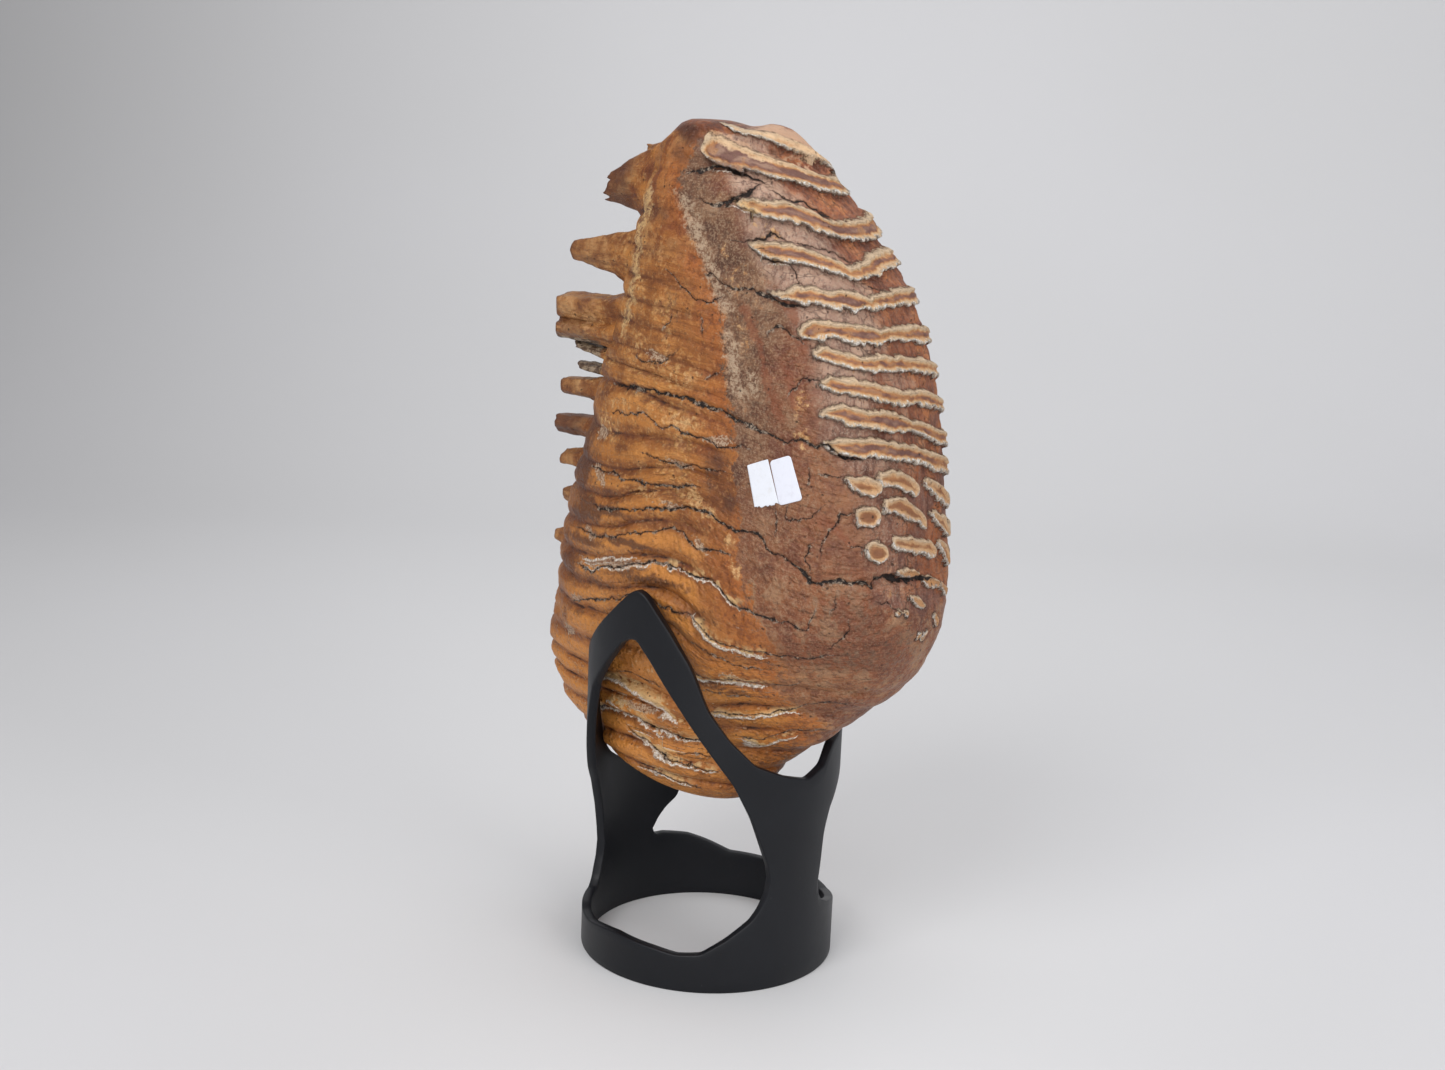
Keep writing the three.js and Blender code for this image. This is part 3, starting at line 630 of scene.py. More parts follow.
# White mineral lines in the same form
veins = [
    [0.55, [[122, 175.2], [113, 175.4], [105, 173.4], [98, 173], [93, 170], [88, 166], [83, 164.4]]],
    [0.8, [[104, 157.5], [102.5, 154], [100, 151.5], [96, 149.1], [90, 146.5], [83, 145.2], [76, 145.3],
        [67, 145.8]]],
    [0.8, [[87, 127.2], [80, 127.8], [75, 128.9], [70, 129.5], [64, 130.4], [59, 130.5], [55, 130.6]]],
    [0.85, [[60, 111.6], [53, 112.3], [49, 113.8], [43, 114.4], [39, 116.4], [36, 117.7], [34, 119.4],
        [31, 120]]],
    [0.8, [[35, 101.4], [30.5, 99.7], [25, 98.4], [22.4, 100], [21.9, 103.1], [19.8, 105.4], [17.1, 108]]],
    [0.65, [[126, 113], [120, 115.4], [114, 116.4], [101, 114.3], [87, 110.6], [72, 105.2], [64, 103]]],
    [0.5, [[107, 105.8], [90, 102], [76, 98.3], [63, 94]]],
    [0.5, [[113, 99], [102, 100], [91, 101], [80, 99], [72, 97.5], [66, 98], [56, 96], [48, 96]]],
    [0.5, [[78, 93], [73, 92], [65, 90], [59, 87.5], [50, 84], [43, 84], [28, 83.5]]],
    [0.4, [[60, 78], [50, 77.6], [42, 76.3], [30, 74]]],
    [0.4, [[174, 168.4], [160, 170], [148, 173], [136, 175.6]]],
    [0.5, [[49, 316.5], [43, 314.5], [37, 314]]], [0.3, [[46, 329.6], [40, 329.2]]],
    [0.5, [[46, 297], [40, 296.8]]], [0.45, [[172, 164.4], [158, 166], [143, 169.6], [128, 174.6]]],
    [0.4, [[-60, 148], [-80, 145], [-100, 149]]], [0.6, [[-50, 128], [-70, 125], [-92, 128]]],
    [0.6, [[-40, 110], [-62, 106], [-84, 110]]], [0.5, [[-30, 97], [-50, 94], [-72, 97]]],
]

# Chipped and scarred spots as [arc, height, half length, half height, tilt in degrees]
chips = [
    [118, 257, 7, 2.2, -12], [160, 222, 5, 3, 20], [110, 217, 6, 1.5, -18], [92, 229, 8, 2, 8],
    [159, 205.7, 6, 3, -40], [167, 180.5, 6, 2, -27], [151, 170.3, 22, 2.4, 9], [116, 200.5, 8, 1.3, 0],
    [102, 187, 5, 1.6, -35], [174, 149, 6, 2, 10], [168, 132, 6, 3, -20], [70, 132.5, 9, 1.4, -4],
    [90, 107, 12, 2.2, -2],
]


# Place on the tooth's skin. The section is a superellipse between the root side and the
# chewing side, and it shrinks to a point in a quarter superellipse at both ends.
def skinPlace(z, angle, rise):
    turn = np.radians(angle)
    power = tooth["capPower"]

    def cap(part):
        return np.clip(1 - np.clip(part, 0, None) ** power, 0, 1) ** (1 / power)

    shrink = cap((tooth["backCap"] - z) / (tooth["backCap"] - tooth["backEnd"]))
    shrink = shrink * cap((z - tooth["frontCap"]) / (tooth["frontEnd"] - tooth["frontCap"]))
    knots = tooth["sections"][:, 0]
    near, far, half, rootPower, chewPower = (
        throughKnots(z, knots, tooth["sections"][:, column]) for column in range(1, 6)
    )
    near, far, half = near * shrink, far * shrink, half * shrink
    half = np.maximum(half * np.where(np.sin(turn) < 0, tooth["farFlatness"], 1), 1e-3)
    long = np.maximum((far - near) / 2, 1e-3)
    power = rootPower + (chewPower - rootPower) * np.clip(0.5 - 0.75 * np.cos(turn), 0, 1)
    across = np.abs(np.cos(turn) / long) ** power + np.abs(np.sin(turn) / half) ** power
    radius = across ** (-1 / power) + rise * shrink
    return (near + far) / 2 - radius * np.cos(turn), radius * np.sin(turn) - tooth["setBack"]


# From distances towards the chewing face and the near side to the common frame
def toFrame(chew, side, z):
    turn = math.radians(tooth["faceTurn"])
    x = chew * math.cos(turn) - side * math.sin(turn)
    y = -chew * math.sin(turn) - side * math.cos(turn)
    return np.stack([x, y, z], -1)


# How far a plate of a given level stands above that level at an angle
def driftAt(level, angle):
    knots, first = tooth["driftAngles"], tooth["driftAngles"][0]
    levels, drifts = tooth["drifts"][:, 0], tooth["drifts"][:, 1:]
    rows = [throughKnots(level, levels, drift) for drift in drifts.T]
    rows = [rows[-1], *rows, rows[0], rows[1]]
    around = np.concatenate([[knots[-1] - 360], knots, [first + 360, knots[1] + 360]])
    return throughKnots((angle - first) % 360 + first, around, np.stack(rows, 1))


# Arc over the skin at one height, from the middle of the chewing face, in a fine table
arcHeights = np.linspace(66.5, 348.3, 240)
arcAngles = np.arange(0, 361, 1.0)


# Running sum of the steps between neighbouring angles, less its value in the face's middle
def makeArcTable():
    z, angle = np.meshgrid(arcHeights, arcAngles, indexing="ij")
    chew, side = skinPlace(z.ravel(), angle.ravel(), 0)
    chew, side = chew.reshape(z.shape), side.reshape(z.shape)
    steps = np.hypot(np.diff(chew, axis=1), np.diff(side, axis=1))
    run = np.concatenate([np.zeros((len(z), 1)), np.cumsum(steps, axis=1)], axis=1)
    return run[:, 180:181] - run


arcTable = makeArcTable()


# Arc at heights and angles, read from the table between its four nearest entries
def arcAt(z, angle):
    row = np.clip((z - arcHeights[0]) / (arcHeights[1] - arcHeights[0]), 0, len(arcHeights) - 1.001)
    column = np.clip(angle % 360, 0, 359.999)
    i, j = row.astype(int), column.astype(int)
    u, v = row - i, column - j
    low = arcTable[i, j] * (1 - v) + arcTable[i, j + 1] * v
    high = arcTable[i + 1, j] * (1 - v) + arcTable[i + 1, j + 1] * v
    return low * (1 - u) + high * u


# Signed distance from points to a line through knots, positive above it, and the distance to
# the nearer end along it. With a third number in each knot, that number at the nearest place.
def lineDistance(arc, z, knots):
    knots = np.array(knots, float)
    knots, wide = knots[:, :2], knots[:, 2] if knots.shape[1] > 2 else None
    lengths = np.hypot(*np.diff(knots, axis=0).T)
    starts = np.concatenate([[0], np.cumsum(lengths)])
    best = np.full(len(arc), 1e3)
    signed, place = best.copy(), np.zeros(len(arc))
    for (x0, z0), (x1, z1), length, start in zip(knots[:-1], knots[1:], lengths, starts):
        ux, uz = (x1 - x0) / length, (z1 - z0) / length
        along = (arc - x0) * ux + (z - z0) * uz
        held = np.clip(along, 0, length)
        offset = np.hypot(arc - x0 - held * ux, z - z0 - held * uz)
        side = (arc - x0) * uz - (z - z0) * ux
        nearer = offset < best
        best = np.where(nearer, offset, best)
        signed = np.where(nearer, np.where(side >= 0, offset, -offset), signed)
        place = np.where(nearer, start + along, place)
    if wide is not None:
        return signed, np.interp(place, starts, wide)
    return signed, np.minimum(place, starts[-1] - place)


# Nearest of several lines: signed distance and half width, which tapers to nothing at both
# ends and is dropped away from the line
def nearestLine(arc, z, lines, taper):
    best = np.full(len(arc), 20.0)
    wide = np.zeros(len(arc))
    for half, knots in lines:
        extent = np.array(knots, float)
        low, high = extent.min(0) - 8, extent.max(0) + 8
        near = np.nonzero((arc > low[0]) & (arc < high[0]) & (z > low[1]) & (z < high[1]))[0]
        if len(near) == 0:
            continue
        signed, toEnd = lineDistance(arc[near], z[near], knots)
        width = half * np.clip((toEnd + 0.3) / taper, 0, 1) ** 0.6 * (np.abs(signed) < 5.6)
        closer = np.abs(signed) - width < np.abs(best[near]) - wide[near]
        best[near] = np.where(closer, signed, best[near])
        wide[near] = np.where(closer, width, wide[near])
    return best, wide


# Labels: thin paper that follows the near side, a little clear of it
labels = {
    "height": 17.5, "tilt": 21, "gap": 0.45, "paper": 0.16, "rows": 45, "columns": 25,
    "square": {"node": "label_square", "slot": "paper_square", "angle": 127.9, "arc": 71.5,
               "middle": 215, "width": 9.9, "corner": 0.25, "torn": 0.9},
    "rounded": {"node": "label_rounded", "slot": "paper_rounded", "angle": 135.3, "arc": 61,
                "middle": 217.8, "width": 9.3, "corner": 1.4, "torn": 0},
}


# How far parts of the skin rise or sink. The worn face's relief grows steeper over the heights
# of the slope.
relief = {
    "rim": 1.4, "groove": 0.9, "cement": 1.4, "ridge": 0.95, "lowRidge": 2, "crack": 0.9, "lip": 0.25,
    "vein": 0.35, "chip": 0.45, "slopeFrom": 280, "slopeTo": 325, "slopeMore": 0.5,
}

# Soft pale and rusty lines, as [half width, points], and soft stains, as [arc, height, arc reach,
# height reach, strength]. A stain of negative strength is a pale patch; two of the dark ones are
# painted shade in a crevice.
paleLines = [
    [4.6, [[70, 321], [73, 310], [76, 299], [78, 288], [77, 277]]],
    [4.2, [[88, 324], [97, 314], [106, 307], [117, 297], [127, 283], [137, 272], [144, 262]]],
    [4.6, [[78, 270], [79.5, 262], [80.5, 252], [79, 245.5]]], [3, [[73, 258], [72, 252], [72, 247]]],
]
rustLines = [
    [2.6, [[69, 283], [66.8, 274], [65.2, 268], [65.5, 258], [64.6, 247.5], [62.6, 238.5]]],
    [3, [[51, 289], [47.5, 280], [46.8, 272], [47.6, 265]]], [2, [[58, 264], [56, 255], [57, 246]]],
    [2.4, [[72, 222], [66, 214], [58, 209]]], [2.6, [[50, 205], [42, 200], [38, 196]]],
]
stainsAndShade = [
    [90, 311, 10, 7, 0.5], [174, 206, 7, 5, 1.4], [166, 190, 7, 5, 1.4], [168, 176.5, 12, 2.2, 1],
    [177, 136, 9, 9, 0.5], [188, 206, 12, 9, 0.8], [172, 222, 8, 10, 0.7], [142, 181, 20, 1.8, 1],
    [150, 192, 14, 2.4, 0.9], [107, 158, 16, 3, 0.6], [184, 164, 9, 7, 0.9], [162, 160, 14, 3, 0.6],
    [160, 144.5, 12, 2.4, 0.5], [88, 206, 5, 5, 0.7], [120, 168, 16, 1.8, 0.6], [85, 142, 20, 1.4, 0.4],
    [66, 126, 16, 1.5, 0.7], [120, 244.5, 26, 1.2, 0.5], [165, 236, 4, 3, 0.3], [146, 248, 5, 3, 0.5],
    [58, 334, 5, 5, 0.5], [66, 341, 6, 3, 0.4], [92, 222, 7, 6, 0.5], [96, 214, 6, 8, 0.4],
    [34, 170, 24, 10, 0.35], [24, 152, 22, 12, 0.4], [60, 148, 20, 8, 0.3], [140, 168, 22, 5, 0.5],
    [46, 262, 5, 30, 0.25], [12, 300, 9, 26, 0.3], [120, 118, 14, 6, 0.5], [100, 88, 20, 6, 0.35],
    [104, 205, 4, 4, -0.9], [97, 199.5, 4, 2.6, -0.9], [88, 191.5, 2.6, 3, -0.9], [87, 180, 3.4, 4, -0.6],
    [52, 249, 3.4, 7, -0.5], [54, 234, 4, 5, -0.5], [112, 252, 22, 7, -0.3], [158, 226, 9, 8, -0.6],
    [144, 236, 10, 4, -0.5], [128, 262, 10, 6, -0.3], [118, 236, 14, 3, -0.3], [106, 233, 10, 3, -0.6],
    [150, 250, 10, 5, -0.25], [130, 204, 16, 4, -0.35], [146, 186, 10, 2, -0.4], [19, 174.5, 5, 2.6, -0.5],
    [20, 168, 5, 4, -0.4], [108, 142, 20, 5, -0.3], [128, 152, 16, 4, -0.35], [40, 309, 8, 6, -0.35],
    [66, 296, 7, 10, -0.3], [70, 268, 9, 14, -0.25], [37, 340, 4, 2, -0.8], [29, 338.6, 6, 2.2, -1],
    [20, 335, 6, 1.8, -1], [12, 333, 6, 1.5, -0.9], [2, 330, 6, 1.6, -0.8], [-6, 337, 12, 5, -0.9],
    # The dark spots at arc 12, height 337.6 and arc 2, height 332.9 are painted shade in the crevice sunk
    # by the hollows there
    [8, 344, 9, 3, -0.8], [20, 345, 6, 1.6, -0.4], [12, 337.6, 7, 1.4, 0.6], [2, 332.9, 5, 1, 0.6],
    [2, 346, 8, 2.5, -1], [-9, 342, 7, 3, -1], [-17, 338, 7, 3, -0.8], [49, 341, 6, 5, 1],
    [43, 331.4, 6, 2.6, 1], [33, 330.8, 7, 2, 0.7], [24, 329.6, 6, 1.6, 0.4], [160, 214, 5, 4, 0.4],
    [98, 285, 14, 13, 0.28], [118, 268, 10, 8, 0.25], [152, 200, 8, 2, 0.6], [178, 186, 6, 4, 0.9],
    [96, 303, 8, 9, -0.3], [120, 282, 8, 12, -0.3], [180, 216, 7, 3, 0.5], [176, 198, 6, 4, 0.7],
    [186, 176, 8, 4, 0.5],
]

# Sunk places as [arc, height, arc reach, height reach, depth], a negative depth standing up
hollows = [
    [20, 339.6, 6, 1.8, 2.4], [11, 336.6, 6, 1.7, 2.6], [3, 333.4, 5, 1.5, 2.2], [-6, 330.4, 5, 1.2, 1.4],
    [26, 324.6, 4.5, 2.2, 2.8], [41, 282.4, 6, 1.6, 1.8], [20, 180.5, 12, 1.6, 2.4],
    [45, 325, 12, 5.5, -1.6], [38, 228.6, 4.5, 1.2, 1.6], [54, 332.2, 10, 1, 1.2], [40, 318.6, 14, 0.9, 1],
    [96, 318, 9, 8, -1.2], [112, 302, 9, 8, -1], [126, 285, 8, 9, -0.8], [62, 203, 12, 12, 0.5],
    [75, 262, 12, 22, 0.6], [70, 300, 9, 16, 0.5], [62, 337, 8, 4, -1], [46, 308, 10, 5, 0.8],
    [44, 292, 10, 3, 0.9], [-60, 300, 14, 20, 0.6], [-70, 250, 20, 20, 0.7], [-66, 190, 16, 18, -0.6],
    [-12, 335, 9, 5.5, -3.2], [-20, 326, 7, 5, 1.4], [199, 138.5, 18, 5, 4.2], [186, 123, 18, 4, -1.2],
    [156, 104.5, 14, 3, 2], [178, 168, 14, 3, 0.8], [172, 190, 10, 4, -0.8], [172, 181, 10, 1.6, 0.9],
    [120, 243, 30, 3, -0.5], [96, 230, 16, 3, -0.5], [130, 222, 24, 4, -0.6], [112, 209, 20, 3, -0.5],
]


# Bell-shaped sum of spots, each one high in its middle and gone at about twice its reach
def spotSum(arc, z, spots):
    total = np.zeros(len(arc))
    for arcPlace, height, arcReach, highReach, amount in spots:
        total += amount * np.exp(-((arc - arcPlace) / arcReach) ** 2 - ((z - height) / highReach) ** 2)
    return total


# Bell-shaped strip along each of several lines, fading at both ends
def lineGlow(arc, z, lines):
    glow = np.zeros(len(arc))
    for half, knots in lines:
        signed, toEnd = lineDistance(arc, z, knots)
        glow = np.maximum(glow, np.exp(-(signed / half) ** 2) * ease(-4, 4, toEnd))
    return glow


# Distance of each point inside the edge of the nearest loop, with that loop's share of the full
# height and the signed distance from its middle line. Its edge is toothed by upright noise.
def nearestLoop(arc, z, places, small, smaller):
    inside = np.full(len(z), -8.0)
    share, loopSide = np.zeros(len(z)), np.zeros(len(z))
    onFace = np.nonzero(np.abs(arc) < 70)[0]
    teeth = noise(np.stack([arc, z * 0.2, z * 0], 1), 1.25, 17)
    teeth = (teeth + 0.6 * noise(np.stack([arc, z * 0.3, z * 0], 1), 2.6, 18))[onFace]
    across = (arc + 0.6 * noise(places, 5, 1) + 0.3 * small)[onFace]
    up = (z + 0.45 * noise(places, 5, 3) + 0.45 * small + 0.35 * smaller)[onFace]
    for strength, knots in loops:
        signed, half = lineDistance(across, up, knots)
        depth = half - np.abs(signed) - 0.1
        toothed = ease(2, 0.6, depth) * ease(-1.7, -0.7, depth)
        depth = depth + teeth * np.where(signed < 0, 0.75, 0.4) * toothed
        deeper = depth > inside[onFace]
        inside[onFace] = np.where(deeper, depth, inside[onFace])
        share[onFace] = np.where(deeper, strength, share[onFace])
        loopSide[onFace] = np.where(deeper, np.clip(signed, -3, 3), loopSide[onFace])
    return inside, share, loopSide


# Rise of the worn face: cement sunk between the loops and broken into blocks and splinters, a
# rim along each loop's edge, a groove behind it and uneven dentine in the middle
def faceRelief(arc, z, places, inside, share, small):
    lift = relief["cement"] * (ease(-0.7, 0.3, inside) - 1) + relief["rim"] * ease(-0.4, 0.9, inside)
    lift = lift - relief["groove"] * ease(1, 2.1, inside)
    lift = lift + (0.4 + 0.35 * noise(places, 4, 11)) * ease(2, 3, inside)
    lift = np.where(inside > -1.5, lift, -relief["cement"])
    lift = lift * (0.3 + 0.7 * np.where(inside > -3, share, 1))
    upright = noise(np.stack([arc, z * 0.28, z * 0], 1), 1.7, 14)
    blocks = np.round(2.2 * noise(np.stack([arc * 0.5, z, z * 0], 1), 4.5, 15)) / 2.2
    return lift + ease(0.2, -0.9, inside) * (0.4 * blocks + 0.3 * upright + 0.3 * small)


# Rise of the sides: a ridge for each plate with narrow valleys between, quiet where the cement
# is smooth. Gives the rise and the ridge itself, from -1 in a valley to 1 on a crest.
def sideRelief(z, level, angle, places):
    plates = np.array(tooth["plates"][::-1], float)
    count = np.interp(level, plates, np.arange(len(plates)))
    phase = count + 0.5 + 0.17 * noise(places, 22, 6) + 0.05 * noise(places, 7, 16)
    crest = np.abs(np.sin(math.pi * phase)) ** 0.62
    uneven = 0.85 + 0.5 * noise(places, 24, 12)
    fromRoot = np.abs((angle + 180) % 360 - 180)
    around = angle % 360
    quiet = ease(98, 116, fromRoot) * ease(128, 150, level)
    quiet = np.maximum(quiet, 0.55 * ease(236, 262, z) * ease(30, 60, fromRoot))
    quiet = np.maximum(quiet, 0.9 * ease(166, 190, around) * ease(264, 240, around) * ease(80, 98, z))
    second = 1 - 2 * np.abs(np.sin(math.pi * (count * 2 + 0.3 * noise(places, 18, 7)))) ** 0.7
    tall = relief["ridge"] + (relief["lowRidge"] - relief["ridge"]) * ease(205, 160, z)
    lift = (tall * (2 * crest - 1.25) * uneven - 0.22 * second) * (1 - quiet)
    return lift, (2 * crest - 1) * (1 - quiet)


# Distance inside the edge of the nearest chip, each an oval turned by its tilt
def chipDepth(arc, z):
    depth = np.full(len(z), -3.0)
    for arcPlace, height, long, high, tilt in chips:
        turn = math.radians(tilt)
        u = (arc - arcPlace) * math.cos(turn) - (z - height) * math.sin(turn)
        v = (arc - arcPlace) * math.sin(turn) + (z - height) * math.cos(turn)
        depth = np.maximum(depth, np.clip((1 - np.hypot(u / long, v / high)) * high, -3, 3))
    return depth


# How far points of the skin rise, and the values that they carry. The rise is that of the face
# or of the sides, with rough noise, cut by cracks, chips and hollows and raised by white lines.
def dress(z, level, angle, places):
    arc = arcAt(z, angle)
    around = angle % 360
    fade = ease(66, 80, level) * (1 - 0.55 * ease(340, 348, level))
    start = np.interp(level, tooth["faceStart"][:, 0], tooth["faceStart"][:, 1])
    worn = ease(start - 5, start + 5, around) * (1 - ease(352 - start, 362 - start, around))
    small, smaller = noise(places, 2.3, 2), noise(places, 1.5, 4)
    wiggle = 1.1 * noise(places, 5, 1) + 0.9 * small
    wiggleArc = arc + wiggle
    wiggleHigh = z + 0.9 * noise(places, 6, 3) + 0.7 * noise(places, 2.9, 5) + 0.35 * smaller
    # At the root side the arc runs on past the seam, so that spots cross it unbroken
    whole = arcAt(z, np.zeros(len(z))) - arcAt(z, np.full(len(z), 359.999))
    rootArc = np.where(around > 310, arc + whole, arc) + wiggle
    inside, share, loopSide = nearestLoop(arc, z, places, small, smaller)
    faceLift = faceRelief(arc, z, places, inside, share, small)
    steep = 1 + relief["slopeMore"] * ease(relief["slopeFrom"], relief["slopeTo"], level)
    faceness = np.maximum(worn, ease(-2.5, 0.5, inside))
    sideLift, ridge = sideRelief(z, level, angle, places)
    rough = 0.75 * noise(places, 19, 8) + 0.4 * noise(places, 7, 9)
    rough = rough + 0.2 * noise(places, 3, 10) + 0.1 * smaller
    crack, crackWide = nearestLine(wiggleArc, wiggleHigh, cracks, 6)
    vein, veinWide = nearestLine(wiggleArc, wiggleHigh, veins, 5)
    chip = chipDepth(rootArc, wiggleHigh)
    stainAndShade = spotSum(rootArc, wiggleHigh, stainsAndShade)
    lift = faceness * faceLift * steep + (1 - faceness) * sideLift + rough * (1 - 0.35 * faceness)
    # A crack is a cut with a steep wall; its lower lip stands back a little
    cut = np.exp(-(crack / (0.45 + crackWide)) ** 2) * np.clip(crackWide / 0.35, 0, 1.8)
    lip = ease(0, -2.5, crack) * ease(-5, -2.5, crack) * np.clip(crackWide / 0.3, 0, 1)
    lift = lift - relief["crack"] * cut - relief["lip"] * lip
    lift = lift + relief["vein"] * np.exp(-(vein / 0.9) ** 2) * np.clip(veinWide / 0.5, 0, 1)
    lift = lift - relief["chip"] * ease(0, 0.8, chip)
    lift = lift - spotSum(rootArc, wiggleHigh, hollows) * (0.85 + 0.4 * noise(places, 4, 13))
    # Paper lies flat, so the skin is level under the labels
    for spot in (labels["square"], labels["rounded"]):
        clear = ease(0.75, 1.5, np.hypot((arc - spot["arc"]) / 8, (z - spot["middle"]) / 12))
        lift = lift * clear - 0.1 * (1 - clear)
    uneven = np.clip(0.9 + 0.6 * noise(places, 16, 19), 0.25, 1.2)
    carried = {
        "loopInside": inside, "worn": faceness, "crackLine": crack, "crackWide": crackWide,
        "veinLine": vein, "veinWide": veinWide, "chip": chip, "ridge": ridge * (1 - faceness) * uneven,
        "arc": arc, "arcAway": np.abs(arc), "level": level, "stainAndShade": stainAndShade, "loopSide": loopSide,
        "farOchre": np.maximum(ease(58, 78, -arc), ease(140, 160, np.abs(arc))),
        "pale": lineGlow(wiggleArc, wiggleHigh, paleLines),
        "rusty": lineGlow(wiggleArc, wiggleHigh, rustLines),
    }
    return lift * fade, carried


# Level of the plates at heights, found by taking the drift off a few times
def levelAt(z, angle):
    level = z.copy()
    for _ in range(6):
        level = level + 0.7 * (z - driftAt(level, angle) - level)
    return level


# Keeps points out of the stand's wall: where the wall stands they stay inside its bore
def clearWall(points, bore=49.4, room=3):
    around = np.degrees(np.arctan2(points[:, 0], -points[:, 1]))
    around = (around + 113) % 360 - 113
    radius, z = np.hypot(points[:, 0], points[:, 1]), points[:, 2]
    crown = np.interp(around, *np.array(stand["crown"], float).T)
    sill, arch = np.full(len(points), 500.0), np.zeros(len(points))
    for window, (low, high) in enumerate(stand["windows"]):
        here = (around > low) & (around < high)
        sill = np.where(here, np.interp(around, *np.array(stand["sills"][window]).T), sill)
        arch = np.where(here, np.interp(around, *np.array(stand["arches"][window]).T), arch)
    atWall = (z < crown + room) & ((z > arch - room) | (z < sill + room))
    behind = atWall & (radius > bore) & (radius < stand["radius"] + room)
    factor = np.where(behind, bore / np.maximum(radius, 1), 1)
    print("skin points set back from the stand's wall:", int(behind.sum()))
    return points * np.stack([factor, factor, np.ones(len(points))], 1)


# Over the top the skin follows the broken crest: a polished cap, a saddle and the edge of the
# first plate, as [distance to the right, height]
roofLine = np.array([
    [-40, 338], [-35, 337], [-31, 338.5], [-27, 342.4], [-23, 347], [-19, 348.5], [-4, 348.5], [1, 347.4],
    [5, 346.3], [9, 346.8], [13, 348.3], [17, 348.3], [21, 346.8], [25, 343.5], [29, 340], [33, 336.6],
    [37, 333.6], [41, 325.6], [46, 322], [60, 322],
], float)


# Stays under the roof line and inside the solid's box, eased by tanh near each limit
def keepInBox(points, inset=0.3, soft=3, edge=1.2):
    low = (np.array(toothLow) - [axisX, axisY, 0]) * 1000 + inset
    high = (np.array(toothHigh) - [axisX, axisY, 0]) * 1000 - inset
    points = points.copy()
    points[:, 2] += 4 * np.exp(-((points[:, 0] + 14) / 9) ** 2) * ease(326, 344, points[:, 2])
    turn = math.radians(tooth["faceTurn"])
    far = np.clip(points[:, 0] * math.sin(turn) + points[:, 1] * math.cos(turn) - 3, 0, None)
    roof = np.interp(points[:, 0], *roofLine.T) - 0.013 * far ** 2 * ease(14, -6, points[:, 0])
    over = np.clip(points[:, 2] - (roof - soft), 0, None)
    points[:, 2] = np.where(over > 0, roof - soft + soft * np.tanh(over / 3.2), points[:, 2])
    middle, half = (low + high) / 2, (high - low) / 2
    away = np.abs(points - middle)
    held = np.where(away > half - edge, half - edge + edge * np.tanh((away - half + edge) / edge), away)
    return middle + np.sign(points - middle) * held


# Rows and columns of the whole skin: rows a gap apart on both sides of a level, with so many in
# each end cap, gaps between columns at angles round the tooth, and a pole at each end as
# [distance to the chewing side, distance to the near side, height]
skinGrid = {
    "capRows": (28, 38), "rowGaps": (1, 1.35), "gapChange": 160, "poles": [[-6, -3, 348.6], [-9, -3, 66]],
    "angles": [0, 45, 60, 118, 128, 200, 215, 240, 300, 340, 360],
    "columnGaps": [1.3, 1.25, 1.3, 1.2, 0.92, 0.92, 1.2, 1.7, 2.1, 1.7, 1.3],
}


# Columns round the tooth between two angles, closer together where more is seen
def columnAngles(first=0, last=360, gap=None):
    fine = np.linspace(first, last, 2000)
    chew, side = skinPlace(np.full(len(fine), 215.0), fine, 0)
    steps = np.hypot(np.diff(chew), np.diff(side))
    if gap is None:
        gap = np.interp((fine[:-1] + fine[1:]) / 2, skinGrid["angles"], skinGrid["columnGaps"])
    run = np.concatenate([[0], np.cumsum(steps / gap)])
    count = int(round(run[-1]))
    return np.interp(np.arange(count) * run[-1] / count, run, fine)


# Rows from the top down, set by a power of the sine in the end caps
def rowLevels():
    top, low = (np.sin(np.linspace(0, math.pi / 2, count + 2)[1:-1]) ** (2 / tooth["capPower"])
                for count in skinGrid["capRows"])
    change, (upperGap, lowerGap) = skinGrid["gapChange"], skinGrid["rowGaps"]
    levels = [tooth["frontCap"] + top * (tooth["frontEnd"] - tooth["frontCap"]),
              np.arange(change, tooth["frontCap"] + 0.5, upperGap),
              np.arange(tooth["backCap"], change - 0.5, lowerGap),
              tooth["backCap"] - low * (tooth["backCap"] - tooth["backEnd"])]
    return np.sort(np.concatenate(levels))[::-1]


# Points at each level and angle, the level drifting up and down round the tooth and each point
# pushed out along its radius by the relief and by more
def skinPoints(levels, angles, more=0):
    level, angle = (side.ravel() for side in np.meshgrid(levels, angles, indexing="ij"))
    z = np.clip(level + driftAt(level, angle), tooth["backEnd"] + 0.02, tooth["frontEnd"] - 0.02)
    chew, side = skinPlace(z, angle, 0)
    lift, carried = dress(z, level, angle, toFrame(chew, side, z))
    chew, side = skinPlace(z, angle, lift + more)
    return toFrame(chew, side, z), carried


# The whole skin: rings of points, closed by a pole at each end
def makeMolar(material):
    angles, levels = columnAngles(), rowLevels()
    points, carried = skinPoints(levels, angles)
    poles = toFrame(*np.array(skinGrid["poles"]).T)
    points = keepInBox(clearWall(np.concatenate([points, poles])))
    rows, columns = len(levels), len(angles)
    last = rows * columns
    quads = [ringQuads(rows, columns)[:, ::-1], fanQuads(last, 0, columns, False),
             fanQuads(last + 1, last - columns, columns, True)]
    piece = makePiece("molar_skin", points, np.concatenate(quads), material)
    finishTooth(piece, carried, points)
    print("molar skin:", rows, "rows", columns, "columns")


# Finer sheets over the two sides that are seen most. A sheet is the same skin at a closer
# grid, a hair proud of it, with its margin sunk below and its rim closed on a point inside.
sheets = {
    "face": {"angles": (126, 224), "levels": (152, 339), "gap": 0.54, "rise": 0.52},
    "flank": {"angles": (38, 128), "levels": (97, 336), "gap": 0.54, "rise": 0.5},
    "proud": 0.2, "sunk": 0.7, "margin": 8, "bore": 49.55, "inset": 0.05,
}


